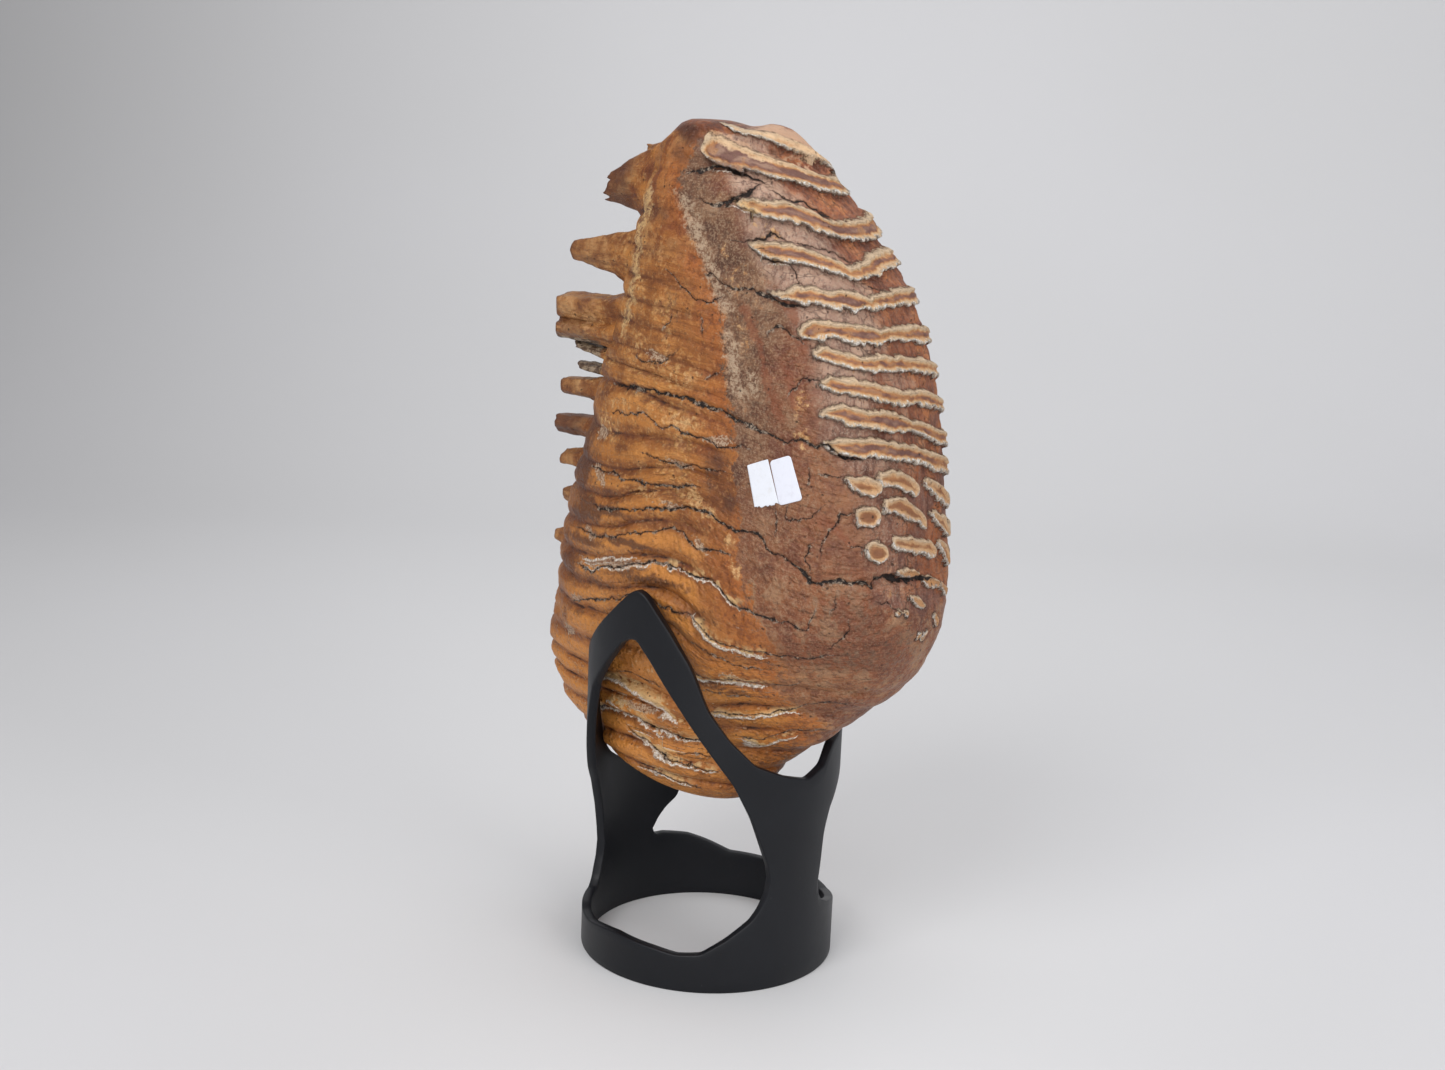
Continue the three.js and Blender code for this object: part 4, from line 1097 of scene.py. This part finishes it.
# A sheet's margin sinks by an eased step of the distance to its rim, in rows and columns
def makeSheet(name, material):
    plan = sheets[name]
    angles = columnAngles(*plan["angles"], plan["gap"])
    levels = np.arange(plan["levels"][1], plan["levels"][0], -plan["rise"])
    rows, columns = len(levels), len(angles)
    row, column = (side.ravel() for side in np.meshgrid(np.arange(rows), np.arange(columns), indexing="ij"))
    toRim = np.minimum(np.minimum(row, rows - 1 - row), np.minimum(column, columns - 1 - column))
    more = sheets["proud"] - sheets["sunk"] * ease(sheets["margin"], 0, toRim)
    points, carried = skinPoints(levels, angles, more)
    heart = points.mean(0) * np.array([0.2, 0.2, 1])
    points = clearWall(np.concatenate([points, heart[None]]), sheets["bore"])
    points = keepInBox(points, sheets["inset"])
    grid = np.arange(rows * columns).reshape(rows, columns)
    rim = np.concatenate([grid[0, :-1], grid[:-1, -1], grid[-1, :0:-1], grid[:0:-1, 0]])
    fan = np.stack([np.full(len(rim), rows * columns), np.roll(rim, -1), rim, rim], -1)
    quads = np.concatenate([gridQuads(rows, columns, True), fan])
    piece = makePiece("molar_" + name, points, quads, material)
    finishTooth(piece, carried, points)
    print("molar", name, "sheet:", rows, "rows", columns, "columns")


# Writes what the points carry, with plain values for the points that are added after them
def finishTooth(piece, carried, points, rootness=None):
    extra = len(points) - len(carried["level"])
    for name, values in carried.items():
        if name != "level":
            setAttribute(piece, name, np.concatenate([values, np.full(extra, plainValue(name))]))
    level = np.concatenate([carried["level"], points[len(carried["level"]):, 2]])
    setAttribute(piece, "platePlace", np.stack([points[:, 0], points[:, 1], level], 1) / 1000)
    setAttribute(piece, "rootness", np.zeros(len(points)) if rootness is None else rootness)
    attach(piece, "root")
    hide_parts("molar")


# What an added point carries: far outside the loops, and nothing else
def plainValue(name):
    return -8.0 if name == "loopInside" else 0.0


# The tooth's one material: grains of several sizes over the tooth's place and over the plates,
# blended by what the skin's points carry
def makeToothMaterial():
    material, shader = newMaterial("mammothTooth", Specular_IOR_Level=0.4)
    place = objectPlace()
    plate = attribute("platePlace", "Vector")
    arc, away = attribute("arc"), attribute("arcAway")
    z = split(place)[2]
    worn, ridge = attribute("worn"), attribute("ridge")
    stainAndShade, rootness = attribute("stainAndShade"), attribute("rootness")
    broad = grain(place, 24, 4, 0.62)
    middle = grain(place, 95, 5, 0.65)
    fine = grain(place, 380, 4, 0.7)
    other = grain(scaled(place, (1, 1, 0.9)), 520, 4, 0.7)
    sand = grain(place, 1150, 3, 0.65)
    bands = grain(scaled(plate, (0.16, 0.16, 1)), 230, 4, 0.65, 0.4)
    upright = grain(scaled(plate, (1, 1, 0.2)), 420, 4, 0.7, 0.2)
    lumps = cells(shaken(scaled(plate, (0.8, 0.8, 1)), 260, 0.003), 430)
    pits = cells(shaken(place, 300, 0.002), 260)

    # Ochre sides: lumpy pale tan in patches, whorls on the shoulder, a painted highlight on the ridges'
    # crests, and brown with painted shade between the ridges
    patches = span(plus(less(broad, times(stainAndShade, 0.35)), spread(middle, -0.08, 0.08)), 0.47, 0.6)
    patches = times(patches, span(away, 78, 108, 0.1, 1), span(z, 0.17, 0.212, 0.3, 1))
    lumpy = times(span(lumps, 0.62, 0.2), patches)
    lowDown = span(z, 0.212, 0.165)
    flecks = times(span(lumps, 0.3, 0.14), span(z, 0.142, 0.124), span(other, 0.47, 0.55), 0.6)
    swirl = grain(scaled(place, (1, 1, 0.6)), 55, 2, 0.5, 1.8)
    shoulder = span(z, 0.285, 0.312)
    # Painted highlight along the crests; the valleys' brown is partly the tooth's own and partly painted
    # shade, darkest deepest down
    crestHighlight = span(plus(ridge, spread(middle, -0.3, 0.3)), 0.3, 0.9, 0, plus(0.5, times(lowDown, 0.3)))
    valleyBrownAndShade = span(plus(ridge, spread(fine, -0.3, 0.3)), 0.15, -0.8)
    deepValleyShade = span(plus(ridge, spread(other, -0.22, 0.22)), -0.45, -0.8)
    ochre = layers(
        tones(broad, [0.34, 122, 70, 28], [0.47, 146, 88, 38], [0.57, 160, 100, 46], [0.68, 178, 122, 66]),
        [span(bands, 0.5, 0.62, 0, 0.6), 104, 58, 27],
        [span(bands, 0.46, 0.36, 0, 0.5), 190, 128, 62],
        [span(middle, 0.54, 0.64, 0, 0.5), 188, 138, 84],
        [span(middle, 0.46, 0.36, 0, 0.6), 104, 56, 24],
        [times(lumpy, span(other, 0.4, 0.56), 0.75), 206, 158, 100],
        [times(span(lumps, 0.5, 0.75), patches, 0.4), 116, 68, 36],
        [span(fine, 0.52, 0.62, 0, 0.5), 108, 62, 30],
        [span(other, 0.46, 0.38, 0, 0.4), 204, 152, 96],
        [times(lowDown, 0.4), tones(broad, [0.4, 156, 90, 38], [0.6, 196, 126, 60])],
        [span(z, 0.158, 0.138, 0, 0.3), 206, 130, 56],
        [flecks, 206, 176, 138],
        [times(span(swirl, 0.54, 0.6), shoulder, 0.6), 190, 138, 84],
        [times(span(swirl, 0.47, 0.4), shoulder, 0.75), 104, 50, 25],
        [crestHighlight, 204, 134, 62],
        [times(valleyBrownAndShade, 0.9), 96, 48, 23],
        [times(deepValleyShade, 0.85), 58, 32, 19],
    )

    # Brown cement, greyer in a band beside the ochre and redder towards the chewing face
    grey = layers(
        tones(middle, [0.36, 88, 57, 40], [0.46, 110, 75, 53], [0.56, 124, 88, 63], [0.66, 150, 116, 88]),
        [span(upright, 0.5, 0.6, 0, 0.5), 96, 58, 38],
        [span(sand, 0.5, 0.58, 0, 0.55), 166, 138, 110],
        [span(fine, 0.46, 0.38, 0, 0.5), 78, 52, 38],
    )
    red = layers(
        tones(broad, [0.36, 112, 62, 37], [0.48, 131, 77, 46], [0.58, 142, 90, 55], [0.68, 156, 106, 70]),
        [span(fine, 0.51, 0.6, 0, 0.5), 156, 118, 90],
        [times(span(bands, 0.52, 0.62), span(z, 0.165, 0.21, 0.15, 0.55)), 108, 58, 40],
        [times(span(middle, 0.5, 0.62), span(z, 0.21, 0.17), 0.45), 172, 138, 104],
        [span(middle, 0.48, 0.36, 0, 0.6), 90, 48, 32],
        [span(other, 0.46, 0.38, 0, 0.5), 94, 54, 36],
        [span(sand, 0.52, 0.6, 0, 0.34), 176, 138, 106],
    )
    arcNow = plus(arc, plus(spread(broad, -12, 12), spread(middle, -7, 7)))
    greyFrom = span(z, 0.245, 0.29, 52, 36)
    greyness = times(span(less(arcNow, greyFrom), 0, 20), span(z, 0.17, 0.25, 0.15, 1))
    deepRed = times(span(arcNow, 62, 44), span(z, 0.262, 0.235), span(z, 0.17, 0.2), 0.5)
    cement = layers(red, [greyness, grey], [deepRed, 104, 60, 42])
    soften = span(z, 0.185, 0.145, 1, 2.6)
    edgeWander = plus(times(spread(middle, -3.6, 3.6), soften), times(spread(fine, -1.8, 1.8), soften))
    # The ochre's edge, as [share of the height, arc in hundreds of millimetres]
    edgeStops = [
        [0, 0.02], [0.14, 0.13], [0.17, 0.24], [0.195, 0.42], [0.222, 0.54], [0.2545, 0.57], [0.2865, 0.67],
        [0.315, 0.75], [0.342, 0.81], [0.42, 0.86], [0.5, 0.83], [0.63, 0.85], [0.75, 0.8], [0.85, 0.79],
        [0.93, 0.66], [0.97, 0.5], [1, 0.36],
    ]
    edgeStops = [(place, (arcPlace, arcPlace, arcPlace, 1)) for place, arcPlace in edgeStops]
    edgeAt = ramp(span(z, 0.07, 0.345, 0, 1, "LINEAR"), edgeStops)
    toEdge = less(plus(arc, edgeWander), times(edgeAt, 100))
    ochreSide = span(times(toEdge, span(z, 0.185, 0.14, 1, 0.2)), -1.3, 1.3)
    farSide = span(plus(attribute("farOchre"), spread(middle, -0.25, 0.25)), 0.4, 0.6)
    rust = times(less(1, farSide), span(toEdge, 26, 1), span(toEdge, -1, 1.5),
                 span(broad, 0.4, 0.55, 0.1, 0.7))
    rustShade = blendColours(span(fine, 0.42, 0.56), colour(122, 62, 26), colour(166, 92, 38))
    body = layers(cement, [greater(ochreSide, farSide), ochre], [rust, rustShade])

    # Cement between the loops: purple-brown, redder round the far edge, splintered upright
    redness = span(plus(arcNow, spread(broad, -10, 10)), 24, 4, 0.12, 1)
    redness = greater(redness, span(z, 0.234, 0.214, 0, 0.55))
    low = span(z, 0.232, 0.212)
    orange = times(low, span(plus(broad, spread(middle, -0.04, 0.04)), 0.47, 0.56), span(arc, 22, 4), 0.6)
    chunks = cells(shaken(scaled(plate, (0.6, 0.6, 1.3)), 140, 0.006), 150, "DISTANCE_TO_EDGE")
    faceCement = layers(
        tones(middle, [0.38, 104, 72, 60], [0.5, 150, 116, 98], [0.62, 182, 154, 134]),
        [span(z, 0.24, 0.262, 0, 0.45), 188, 158, 138],
        [redness, tones(middle, [0.38, 104, 58, 40], [0.5, 146, 88, 60], [0.62, 186, 118, 72])],
        [times(low, 0.42), 108, 66, 48],
        [times(low, span(broad, 0.52, 0.45), 0.45), 120, 84, 74],
        [orange, 158, 88, 42],
        [span(upright, 0.51, 0.6, 0, 0.55), 76, 44, 36],
        [times(span(upright, 0.45, 0.38), less(1, times(redness, 0.6)), 0.4), 176, 144, 120],
        [times(span(sand, 0.52, 0.6), less(1, times(redness, 0.7)), 0.5), 188, 166, 146],
        [times(span(chunks, 0.05, 0.015), span(middle, 0.48, 0.6), 0.5), 44, 26, 21],
    )

    # The polished end above the first plate
    polish = tones(middle, [0.36, 72, 35, 18], [0.48, 110, 56, 27], [0.56, 136, 77, 40],
                   [0.66, 172, 114, 70])
    polished = times(span(plus(times(z, 1000), spread(fine, -1, 1)), 342.6, 344.6),
                     greater(span(arcNow, 2, 20), span(away, 24, 40)))
    body = layers(body, [worn, faceCement], [polished, polish])

    # Stains with some painted shade in the crevice at the face's top, pale patches and rusty lines
    dark = span(plus(stainAndShade, spread(fine, -0.22, 0.22), spread(middle, -0.15, 0.15)), 0.12, 0.75, 0, 0.8)
    light = plus(stainAndShade, spread(fine, 0.32, -0.32), spread(middle, 0.2, -0.2))
    lightShade = blendColours(span(other, 0.42, 0.56), colour(172, 118, 68), colour(214, 170, 116))
    lightShade = layers(lightShade, [times(worn, span(z, 0.32, 0.33)), 202, 164, 134])
    rusty = plus(attribute("rusty"), spread(fine, -0.35, 0.35), spread(middle, -0.4, 0.4))
    rootSide = times(span(plus(away, spread(middle, -16, 16)), 160, 182, 0, 0.34), span(z, 0.25, 0.22))
    pale = plus(attribute("pale"), spread(fine, -0.5, 0.5), spread(other, -0.35, 0.35))
    paleShade = blendColours(span(arc, 82, 92), colour(182, 158, 132), colour(212, 174, 120))
    grainy = span(plus(times(fine, 0.5), times(sand, 0.5)), 0.42, 0.54)
    paleShade = blendColours(grainy, colour(132, 98, 72), paleShade)
    body = layers(
        body,
        [dark, 74, 40, 26],
        [span(light, -0.3, -0.6, 0, 0.8), lightShade],
        [span(rusty, 0.3, 0.95, 0, 0.6), 128, 68, 40],
        [rootSide, 108, 60, 32],
        [span(pale, 0.3, 1.1, 0, 0.8), paleShade],
    )

    # Loops: a white fringe of upright grains, a tan ridge, then a cream line and brown dentine, with
    # painted shadow under their edges
    inside = attribute("loopInside")
    comb = grain(scaled(plate, (1, 1, 0.3)), 1300, 3, 0.7)
    lower = span(attribute("loopSide"), 0.6, -0.8)
    combed = times(spread(comb, -0.6, 0.6), span(lower, 0, 1, 0.7, 1.4))
    edge = plus(inside, combed, spread(fine, -0.3, 0.3))
    deep = plus(inside, spread(other, -0.25, 0.25), spread(middle, -0.35, 0.35))
    deep = times(deep, span(z, 0.226, 0.216, 1, 0.74))
    fringe = blendColours(span(comb, 0.42, 0.58), colour(232, 228, 220), colour(170, 152, 134))
    fringe = layers(fringe, [times(less(1, lower), 0.85), 194, 166, 136])
    fringeWide = plus(span(lower, 0, 1, 0.1, 1), spread(middle, -0.35, 0.35), spread(broad, -0.3, 0.3))
    spots = grain(scaled(plate, (1, 1, 1.5)), 130, 2, 0.5)
    deepIn, island = span(deep, 1.9, 2.8), span(z, 0.226, 0.216)
    core = times(island, span(plus(deep, spread(spots, -0.5, 0.5)), 1.5, 2.2), 0.7)
    loopLight = plus(stainAndShade, spread(fine, 0.2, -0.2), spread(upright, 0.15, -0.15))
    loopShade = tones(
        span(deep, 0.2, 4.2, 0, 1, "LINEAR"),
        [0, 198, 172, 142], [0.18, 212, 186, 154], [0.36, 202, 166, 126], [0.5, 180, 126, 78],
        [0.6, 150, 100, 68], [0.72, 122, 86, 76], [0.88, 140, 106, 90], [1, 150, 118, 100],
    )
    loopShade = layers(
        loopShade,
        [span(less(edge, fringeWide), 0.3, -0.2), fringe],
        [times(deepIn, span(spots, 0.5, 0.6, 0, 0.85)), 104, 68, 60],
        [times(deepIn, span(spots, 0.46, 0.38, 0, 0.5)), 184, 132, 84],
        [span(sand, 0.53, 0.6, 0, 0.3), 140, 106, 82],
        [times(island, span(deep, 0.45, 1.1), 0.45), 182, 128, 76],
        [core, 122, 76, 50],
        [span(loopLight, -0.3, -0.7, 0, 0.85), 218, 184, 146],
        [times(span(z, 0.188, 0.182), span(deep, 0.3, 0.9), 0.6), 178, 120, 66],
        [span(plus(stainAndShade, spread(fine, -0.15, 0.15)), 0.3, 0.8, 0, 0.75), 124, 88, 72],
    )
    # Painted shadow in a broken band just outside each loop's edge, deeper under the lower edge
    loopEdgeShadow = times(span(edge, -1.1, -0.3), span(edge, 0, -0.2), span(middle, 0.42, 0.56, 0.05, 1))
    body = layers(
        body,
        [span(edge, -0.2, 0.02), loopShade],
        [times(loopEdgeShadow, span(lower, 0, 1, 0.32, 0.6)), 54, 32, 26],
    )

    # Roots: striped along, a grey flaking band, darker and redder at their broken ends
    rootShade = tones(middle, [0.38, 112, 66, 36], [0.5, 152, 102, 58], [0.62, 188, 140, 90])
    rootShade = layers(rootShade, [span(bands, 0.49, 0.6, 0, 0.6), 92, 52, 30])
    flake = times(span(rootness, 0.1, 0.3), span(z, 0.2375, 0.2385), span(z, 0.2555, 0.2545))
    flakeShade = blendColours(span(fine, 0.44, 0.56), colour(82, 68, 56), colour(158, 142, 120))
    body = layers(
        body,
        [span(rootness, 0.15, 0.6, 0, 0.8), rootShade],
        [times(flake, 0.85), flakeShade],
        [times(span(stainAndShade, 0.2, 0.6), span(rootness, 0.1, 0.5), 0.65), 80, 42, 28],
        [span(plus(rootness, spread(middle, -0.16, 0.16)), 0.7, 1, 0, 0.55), 88, 46, 28],
    )

    # Scars, white lines with a cream strip above and shade below, and cracks with pale edges
    chip = plus(attribute("chip"), spread(fine, -1, 1), spread(sand, -0.4, 0.4))
    chipShade = blendColours(span(sand, 0.46, 0.56), colour(126, 90, 66), colour(196, 172, 146))
    veinLine, veinWide = attribute("veinLine"), attribute("veinWide")
    veinGap = sums("ABSOLUTE", plus(veinLine, spread(fine, -0.7, 0.7), spread(comb, -0.3, 0.3)))
    broken = plus(spread(middle, -0.45, 0.5), spread(other, -0.25, 0.25))
    veinIn = less(plus(veinWide, broken), veinGap)
    veinShade = blendColours(span(sand, 0.44, 0.58), colour(230, 222, 211), colour(180, 156, 130))
    beside = span(veinWide, 0.1, 0.5)
    above = times(span(arc, 138, 118), span(veinLine, 5.2, 1.6), span(veinLine, 0.2, 0.9), beside,
                  span(plus(middle, spread(lumps, 0.06, -0.06)), 0.4, 0.52))
    below = times(span(veinLine, -2.6, -0.9), span(veinLine, -0.4, -0.9), beside)
    crackNow = plus(attribute("crackLine"), spread(fine, -0.55, 0.55), spread(sand, -0.2, 0.2))
    crackWide = times(attribute("crackWide"), span(middle, 0.38, 0.6, 0.2, 1.1))
    crackIn = less(crackWide, sums("ABSOLUTE", crackNow))
    gap = span(crackIn, -0.12, 0.08)
    mineral = times(span(crackIn, -0.75, -0.15), less(1, worn),
                    span(plus(other, spread(middle, -0.06, 0.06)), 0.53, 0.6))
    pitted = times(span(pits, 0.16, 0.07), span(plus(middle, spread(broad, -0.05, 0.05)), 0.45, 0.6))
    body = layers(
        body,
        [span(chip, 0.1, 0.5, 0, 0.8), chipShade],
        [span(veinIn, -0.12, 0.15, 0, 0.92), veinShade],
        [times(above, 0.85), 216, 178, 124],
        [times(below, 0.45), 88, 48, 26],
        [span(crackIn, -0.9, 0.05, 0, 0.6), 72, 38, 24],
        [gap, 30, 19, 14],
        [times(mineral, 0.7), 176, 156, 136],
        [times(pitted, 0.75), 46, 27, 19],
        [span(sand, 0.6, 0.68, 0, 0.35), 58, 34, 23],
    )
    feed(shader["Base Color"], body)

    # Glossier on the ochre and on the polished end, and rough in the small where the colour is
    notOchre = times(greyness, less(1, greater(times(ochreSide, 0.6), farSide)))
    dull = times(greater(greater(worn, gap), notOchre), less(1, polished))
    feed(shader["Roughness"], plus(span(dull, 0, 1, 0.44, 0.6), spread(fine, -0.06, 0.1)))
    fringed = times(comb, span(edge, -0.4, 0), span(edge, 1.4, 0.6))
    relieved = plus(times(fine, 0.7), times(other, 0.4), times(sand, 0.3), times(lumpy, 0.35))
    relieved = plus(relieved, times(span(lumps, 0.1, 0.65), less(1, worn), less(1, greyness), -0.7))
    relieved = plus(relieved, times(upright, worn, 0.8), times(upright, greyness, 0.4))
    relieved = plus(relieved, times(span(edge, -0.4, 0.3), 0.6), fringed)
    relieved = plus(relieved, times(gap, -1.6), times(pitted, -0.7), times(span(bands, 0.35, 0.65), -0.5))
    feed(shader["Normal"], bump(relieved, 0.0008))
    return material


# Roots, broken short. Each leaves the tooth at a height and a distance to the near side, from a
# base inside it, and reaches a distance from the middle plane. Then come its height and
# thickness, its end as a share of them, its lift along the way, how ragged its end is and how
# much darker it is.
rootParts = ("height", "side", "base", "reach", "tall", "thick", "end", "lift", "rag", "tone")
roots = [
    [323, 9, -33, 56.5, 26, 19, 0.42, -4, 3.4, 0.5], [332, 4, -31, 41.5, 14, 11, 0.34, 4.5, 3, 0.3],
    [317, -16, -33, 50, 20, 14, 0.5, -2, 1.6, 0], [292.1, 8, -42, 78, 17.5, 16, 0.42, -1, 1.2, 0],
    [286, -18, -42, 62, 16, 14, 0.5, 1, 1.6, 0], [268, 8, -48, 83, 13.8, 17, 0.84, -0.6, 1.6, -0.35],
    [259.4, 8, -50, 82.5, 11.6, 16, 0.86, -1, 1.6, -0.35], [248.4, 4, -52, 73, 5.4, 13, 0.7, 3, 2.6, 0],
    [241.4, 4, -53, 71, 4, 10, 0.8, 1, 2.2, 0], [257, -20, -48, 67, 16, 14, 0.55, 0, 1.6, 0],
    [234, 7, -57, 80, 9.6, 13, 0.7, -0.4, 1.4, -0.45], [231, -20, -54, 72, 12, 12, 0.5, 0, 1.6, 0],
    [217.3, 7, -61, 82.3, 9.2, 12, 0.88, -0.6, 1.2, 0.55], [211, -18, -59, 76, 10, 11, 0.6, 0, 1.6, 0],
    [203, 6, -66, 80.5, 8.6, 10, 0.7, -1.4, 1.6, 0], [186, 6, -71, 80.6, 9, 10, 0.5, 0, 1.4, 0],
    [167, 6, -75, 82.6, 10, 10, 0.5, 0, 1.4, 0],
]
rootGrid = {"around": 56, "shaft": 34, "cap": 9, "sunk": 3, "top": 348}


# Distance of the root side's skin from the middle plane, from the section's superellipse
# solved for the chewing direction
def rootSkin(side, z):
    knots = tooth["sections"][:, 0]
    near, far, half, power = (
        throughKnots(z, knots, tooth["sections"][:, column]) for column in range(1, 5)
    )
    half = half * np.where(side + tooth["setBack"] < 0, tooth["farFlatness"], 1)
    across = np.clip(np.abs(side + tooth["setBack"]) / half, 0, 0.97) ** power
    return (near + far) / 2 - (far - near) / 2 * (1 - across) ** (1 / power)


# One root: oval, fluted rings round a line that runs straight out of the root side. They flare
# where they leave the tooth, narrow along the shaft and close over a hollow, ragged end. Gives
# its points with a pole at each end, and what they carry.
def makeRoot(root, index):
    around, shaft, cap, sunk = (rootGrid[name] for name in ("around", "shaft", "cap", "sunk"))
    length = root["reach"] + root["base"]
    out = -sunk + (length + sunk) * np.concatenate([np.linspace(0, 1, shaft), np.ones(cap)])
    part = np.clip(out / length, 0, 1)
    closing = np.concatenate([np.ones(shaft), np.cos(np.linspace(0.1, 1.5, cap))])
    scale = np.interp(part, [0, 0.2, 1], [1, 1, root["end"]])
    scale = (scale + 0.45 * np.clip((0.35 - part) / 0.35, 0, 1) ** 2.4) * closing
    turn = np.arange(around) / around * 2 * math.pi
    ring, angle = (side.ravel() for side in np.meshgrid(np.arange(shaft + cap), turn, indexing="ij"))
    out, part, scale, closing = out[ring], part[ring], scale[ring], closing[ring]
    flute = 1 + 0.07 * np.cos(3 * angle + index) + 0.05 * np.cos(5 * angle + 2.1 * index)
    flat = np.sign(np.cos(angle)) * np.abs(np.cos(angle)) ** 0.85
    tall = np.sign(np.sin(angle)) * np.abs(np.sin(angle)) ** 0.85
    side = root["side"] + root["thick"] / 2 * scale * flute * flat
    z = root["height"] + root["lift"] * part + root["tall"] / 2 * scale * flute * tall
    z = np.minimum(z, rootGrid["top"] - 0.5)
    middle = rootSkin(np.array([root["side"]], float), np.array([root["height"]], float))[0]
    straight = ease(0, 0.5, part)
    chew = rootSkin(side, z) * (1 - straight) + middle * straight - out
    # The end is ragged at its rim and sinks in the middle
    rim = np.stack([side, z, np.full(len(side), index * 40.0)], 1)
    ragged = root["rag"] * noise(rim, 3.4, 21) + 0.5 * root["rag"] * noise(rim, 1.5, 22)
    hollow = np.concatenate([np.zeros(shaft), np.linspace(0, 2.4, cap)])[ring]
    chew = chew + ease(0.7, 1, part) * ragged + hollow
    places = toFrame(chew, side, z)
    grown = (0.55 * noise(places, 7, 23) + 0.3 * noise(places, 2.6, 24)) * closing
    side, z = side + grown * flat, np.minimum(z + grown * tall, rootGrid["top"])
    points = toFrame(chew, side, z)
    # Values that the material reads, taken from the skin below
    skinAngle = np.degrees(np.arctan2(side + tooth["setBack"], 30 - chew)) % 360
    _, carried = dress(z, levelAt(z, skinAngle), skinAngle, points)
    for name in ("crackWide", "veinWide"):
        carried[name] = carried[name] * (part < 0.1)
    carried["chip"] = np.where(part < 0.1, carried["chip"], -3)
    carried["ridge"] = carried["ridge"] * (1 - ease(0, 0.3, part))
    carried["stainAndShade"] = carried["stainAndShade"] + root["tone"] * ease(0.1, 0.5, part)
    atEnd = np.where(ring < shaft, ease(0.9, 1, part), 1)
    carried["rootness"] = 0.7 * ease(0.05, 0.6, part) + 0.3 * atEnd
    tip = [middle - length + 2.6, root["side"], root["height"] + root["lift"]]
    foot = [middle + 9, root["side"], min(root["height"], 338)]
    poles = toFrame(*np.array([tip, foot], float).T)
    for name, values in carried.items():
        carried[name] = np.concatenate([values, np.full(2, plainValue(name))])
    carried["level"][-2:] = root["height"]
    carried["rootness"][-2:] = 1, 0
    return np.concatenate([points, poles]), carried


# All roots in one piece, each closed by a fan at its tip and at its foot
def makeRoots(material):
    around, rings = rootGrid["around"], rootGrid["shaft"] + rootGrid["cap"]
    made = [makeRoot(dict(zip(rootParts, row)), index) for index, row in enumerate(roots)]
    quads = []
    for index in range(len(roots)):
        start = index * (rings * around + 2)
        tip = start + rings * around
        quads += [ringQuads(rings, around, start), fanQuads(tip, tip - around, around, False),
                  fanQuads(tip + 1, start, around, True)]
    points = keepInBox(clearWall(np.concatenate([points for points, _ in made])), 0.05)
    carried = {name: np.concatenate([one[name] for _, one in made]) for name in made[0][1]}
    rootness = carried.pop("rootness")
    piece = makePiece("molar_roots", points, np.concatenate(quads), material)
    finishTooth(piece, carried, points, rootness)


# Label as a grid whose corners are drawn in to a quarter circle and whose foot may be torn,
# laid over the skin and leaning by the tilt
def makeLabel(name, material):
    plan, rows, columns = labels[name], labels["rows"], labels["columns"]
    wide, tall, corner = plan["width"] / 2, labels["height"] / 2, plan["corner"]
    across, up = np.meshgrid(np.linspace(-1, 1, columns), np.linspace(-1, 1, rows))
    x, y = across * wide, up * tall
    overX = np.clip(np.abs(x) - (wide - corner), 0, None)
    overY = np.clip(np.abs(y) - (tall - corner), 0, None)
    draw = np.minimum(1, np.maximum(overX, overY) / np.maximum(np.hypot(overX, overY), 1e-6))
    x = np.sign(x) * (np.abs(x) - overX * (1 - draw))
    y = np.sign(y) * (np.abs(y) - overY * (1 - draw))
    steps = np.stack([x.ravel() * 3, y.ravel(), np.zeros(x.size)], 1)
    tear = np.clip(-across * 0.6 + 0.3 + noise(steps, 2.2, 31).reshape(x.shape), 0, 1.2)
    y = y + plan["torn"] * tear * np.clip((-up - 0.86) / 0.14, 0, 1)
    turn = math.radians(labels["tilt"])
    lean = x * math.cos(turn) - y * math.sin(turn)
    rise = x * math.sin(turn) + y * math.cos(turn)
    level = np.full(2, float(plan["middle"]))
    base = toFrame(*skinPlace(level, plan["angle"] + np.array([0, 1.0]), 0), level)
    perDegree = np.linalg.norm(base[1] - base[0])
    z = (plan["middle"] + rise).ravel()
    angle = (plan["angle"] + lean / perDegree).ravel()
    curl = 0.25 * np.clip(np.abs(across) + np.abs(up) - 1.5, 0, 1).ravel()
    uneven = 0.05 * noise(np.stack([z, angle, z * 0], 1), 4, 32)
    points = toFrame(*skinPlace(z, angle, labels["gap"] + curl + uneven), z)
    piece = makePiece("paper_" + name, points, gridQuads(rows, columns, True), material)
    solid = piece.modifiers.new("paper", "SOLIDIFY")
    solid.thickness, solid.offset = labels["paper"] / 1000, 1
    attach(piece, "root")
    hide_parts(plan["node"])


# White paper: fibres along its height and a smudge of a warmer white
def makePaper(name, shade, warm):
    material, shader = newMaterial(name, Roughness=0.6)
    place = objectPlace()
    fibres = grain(scaled(place, (1, 1, 0.4)), 2600, 4, 0.6)
    smudge = grain(place, 260, 4, 0.6)
    tone = layers(
        colour(*shade),
        [span(smudge, 0.5, 0.75, 0, 0.5), *warm],
        [span(fibres, 0.55, 0.75, 0, 0.2), 190, 190, 196],
    )
    feed(shader["Base Color"], tone)
    feed(shader["Normal"], bump(fibres, 0.00006, 0.5))
    return material


makeCamera()
makeStudio()
print("camera and studio made")
makeStand(makePaint())
print("stand made")
toothMaterial = makeToothMaterial()
makeMolar(toothMaterial)
makeSheet("face", toothMaterial)
makeSheet("flank", toothMaterial)
makeRoots(toothMaterial)
print("molar made")
makeLabel("square", makePaper("whiteLabelPaper", (228, 231, 238), (214, 214, 214)))
makeLabel("rounded", makePaper("coatedLabelPaper", (224, 226, 236), (208, 208, 218)))
print("labels made")
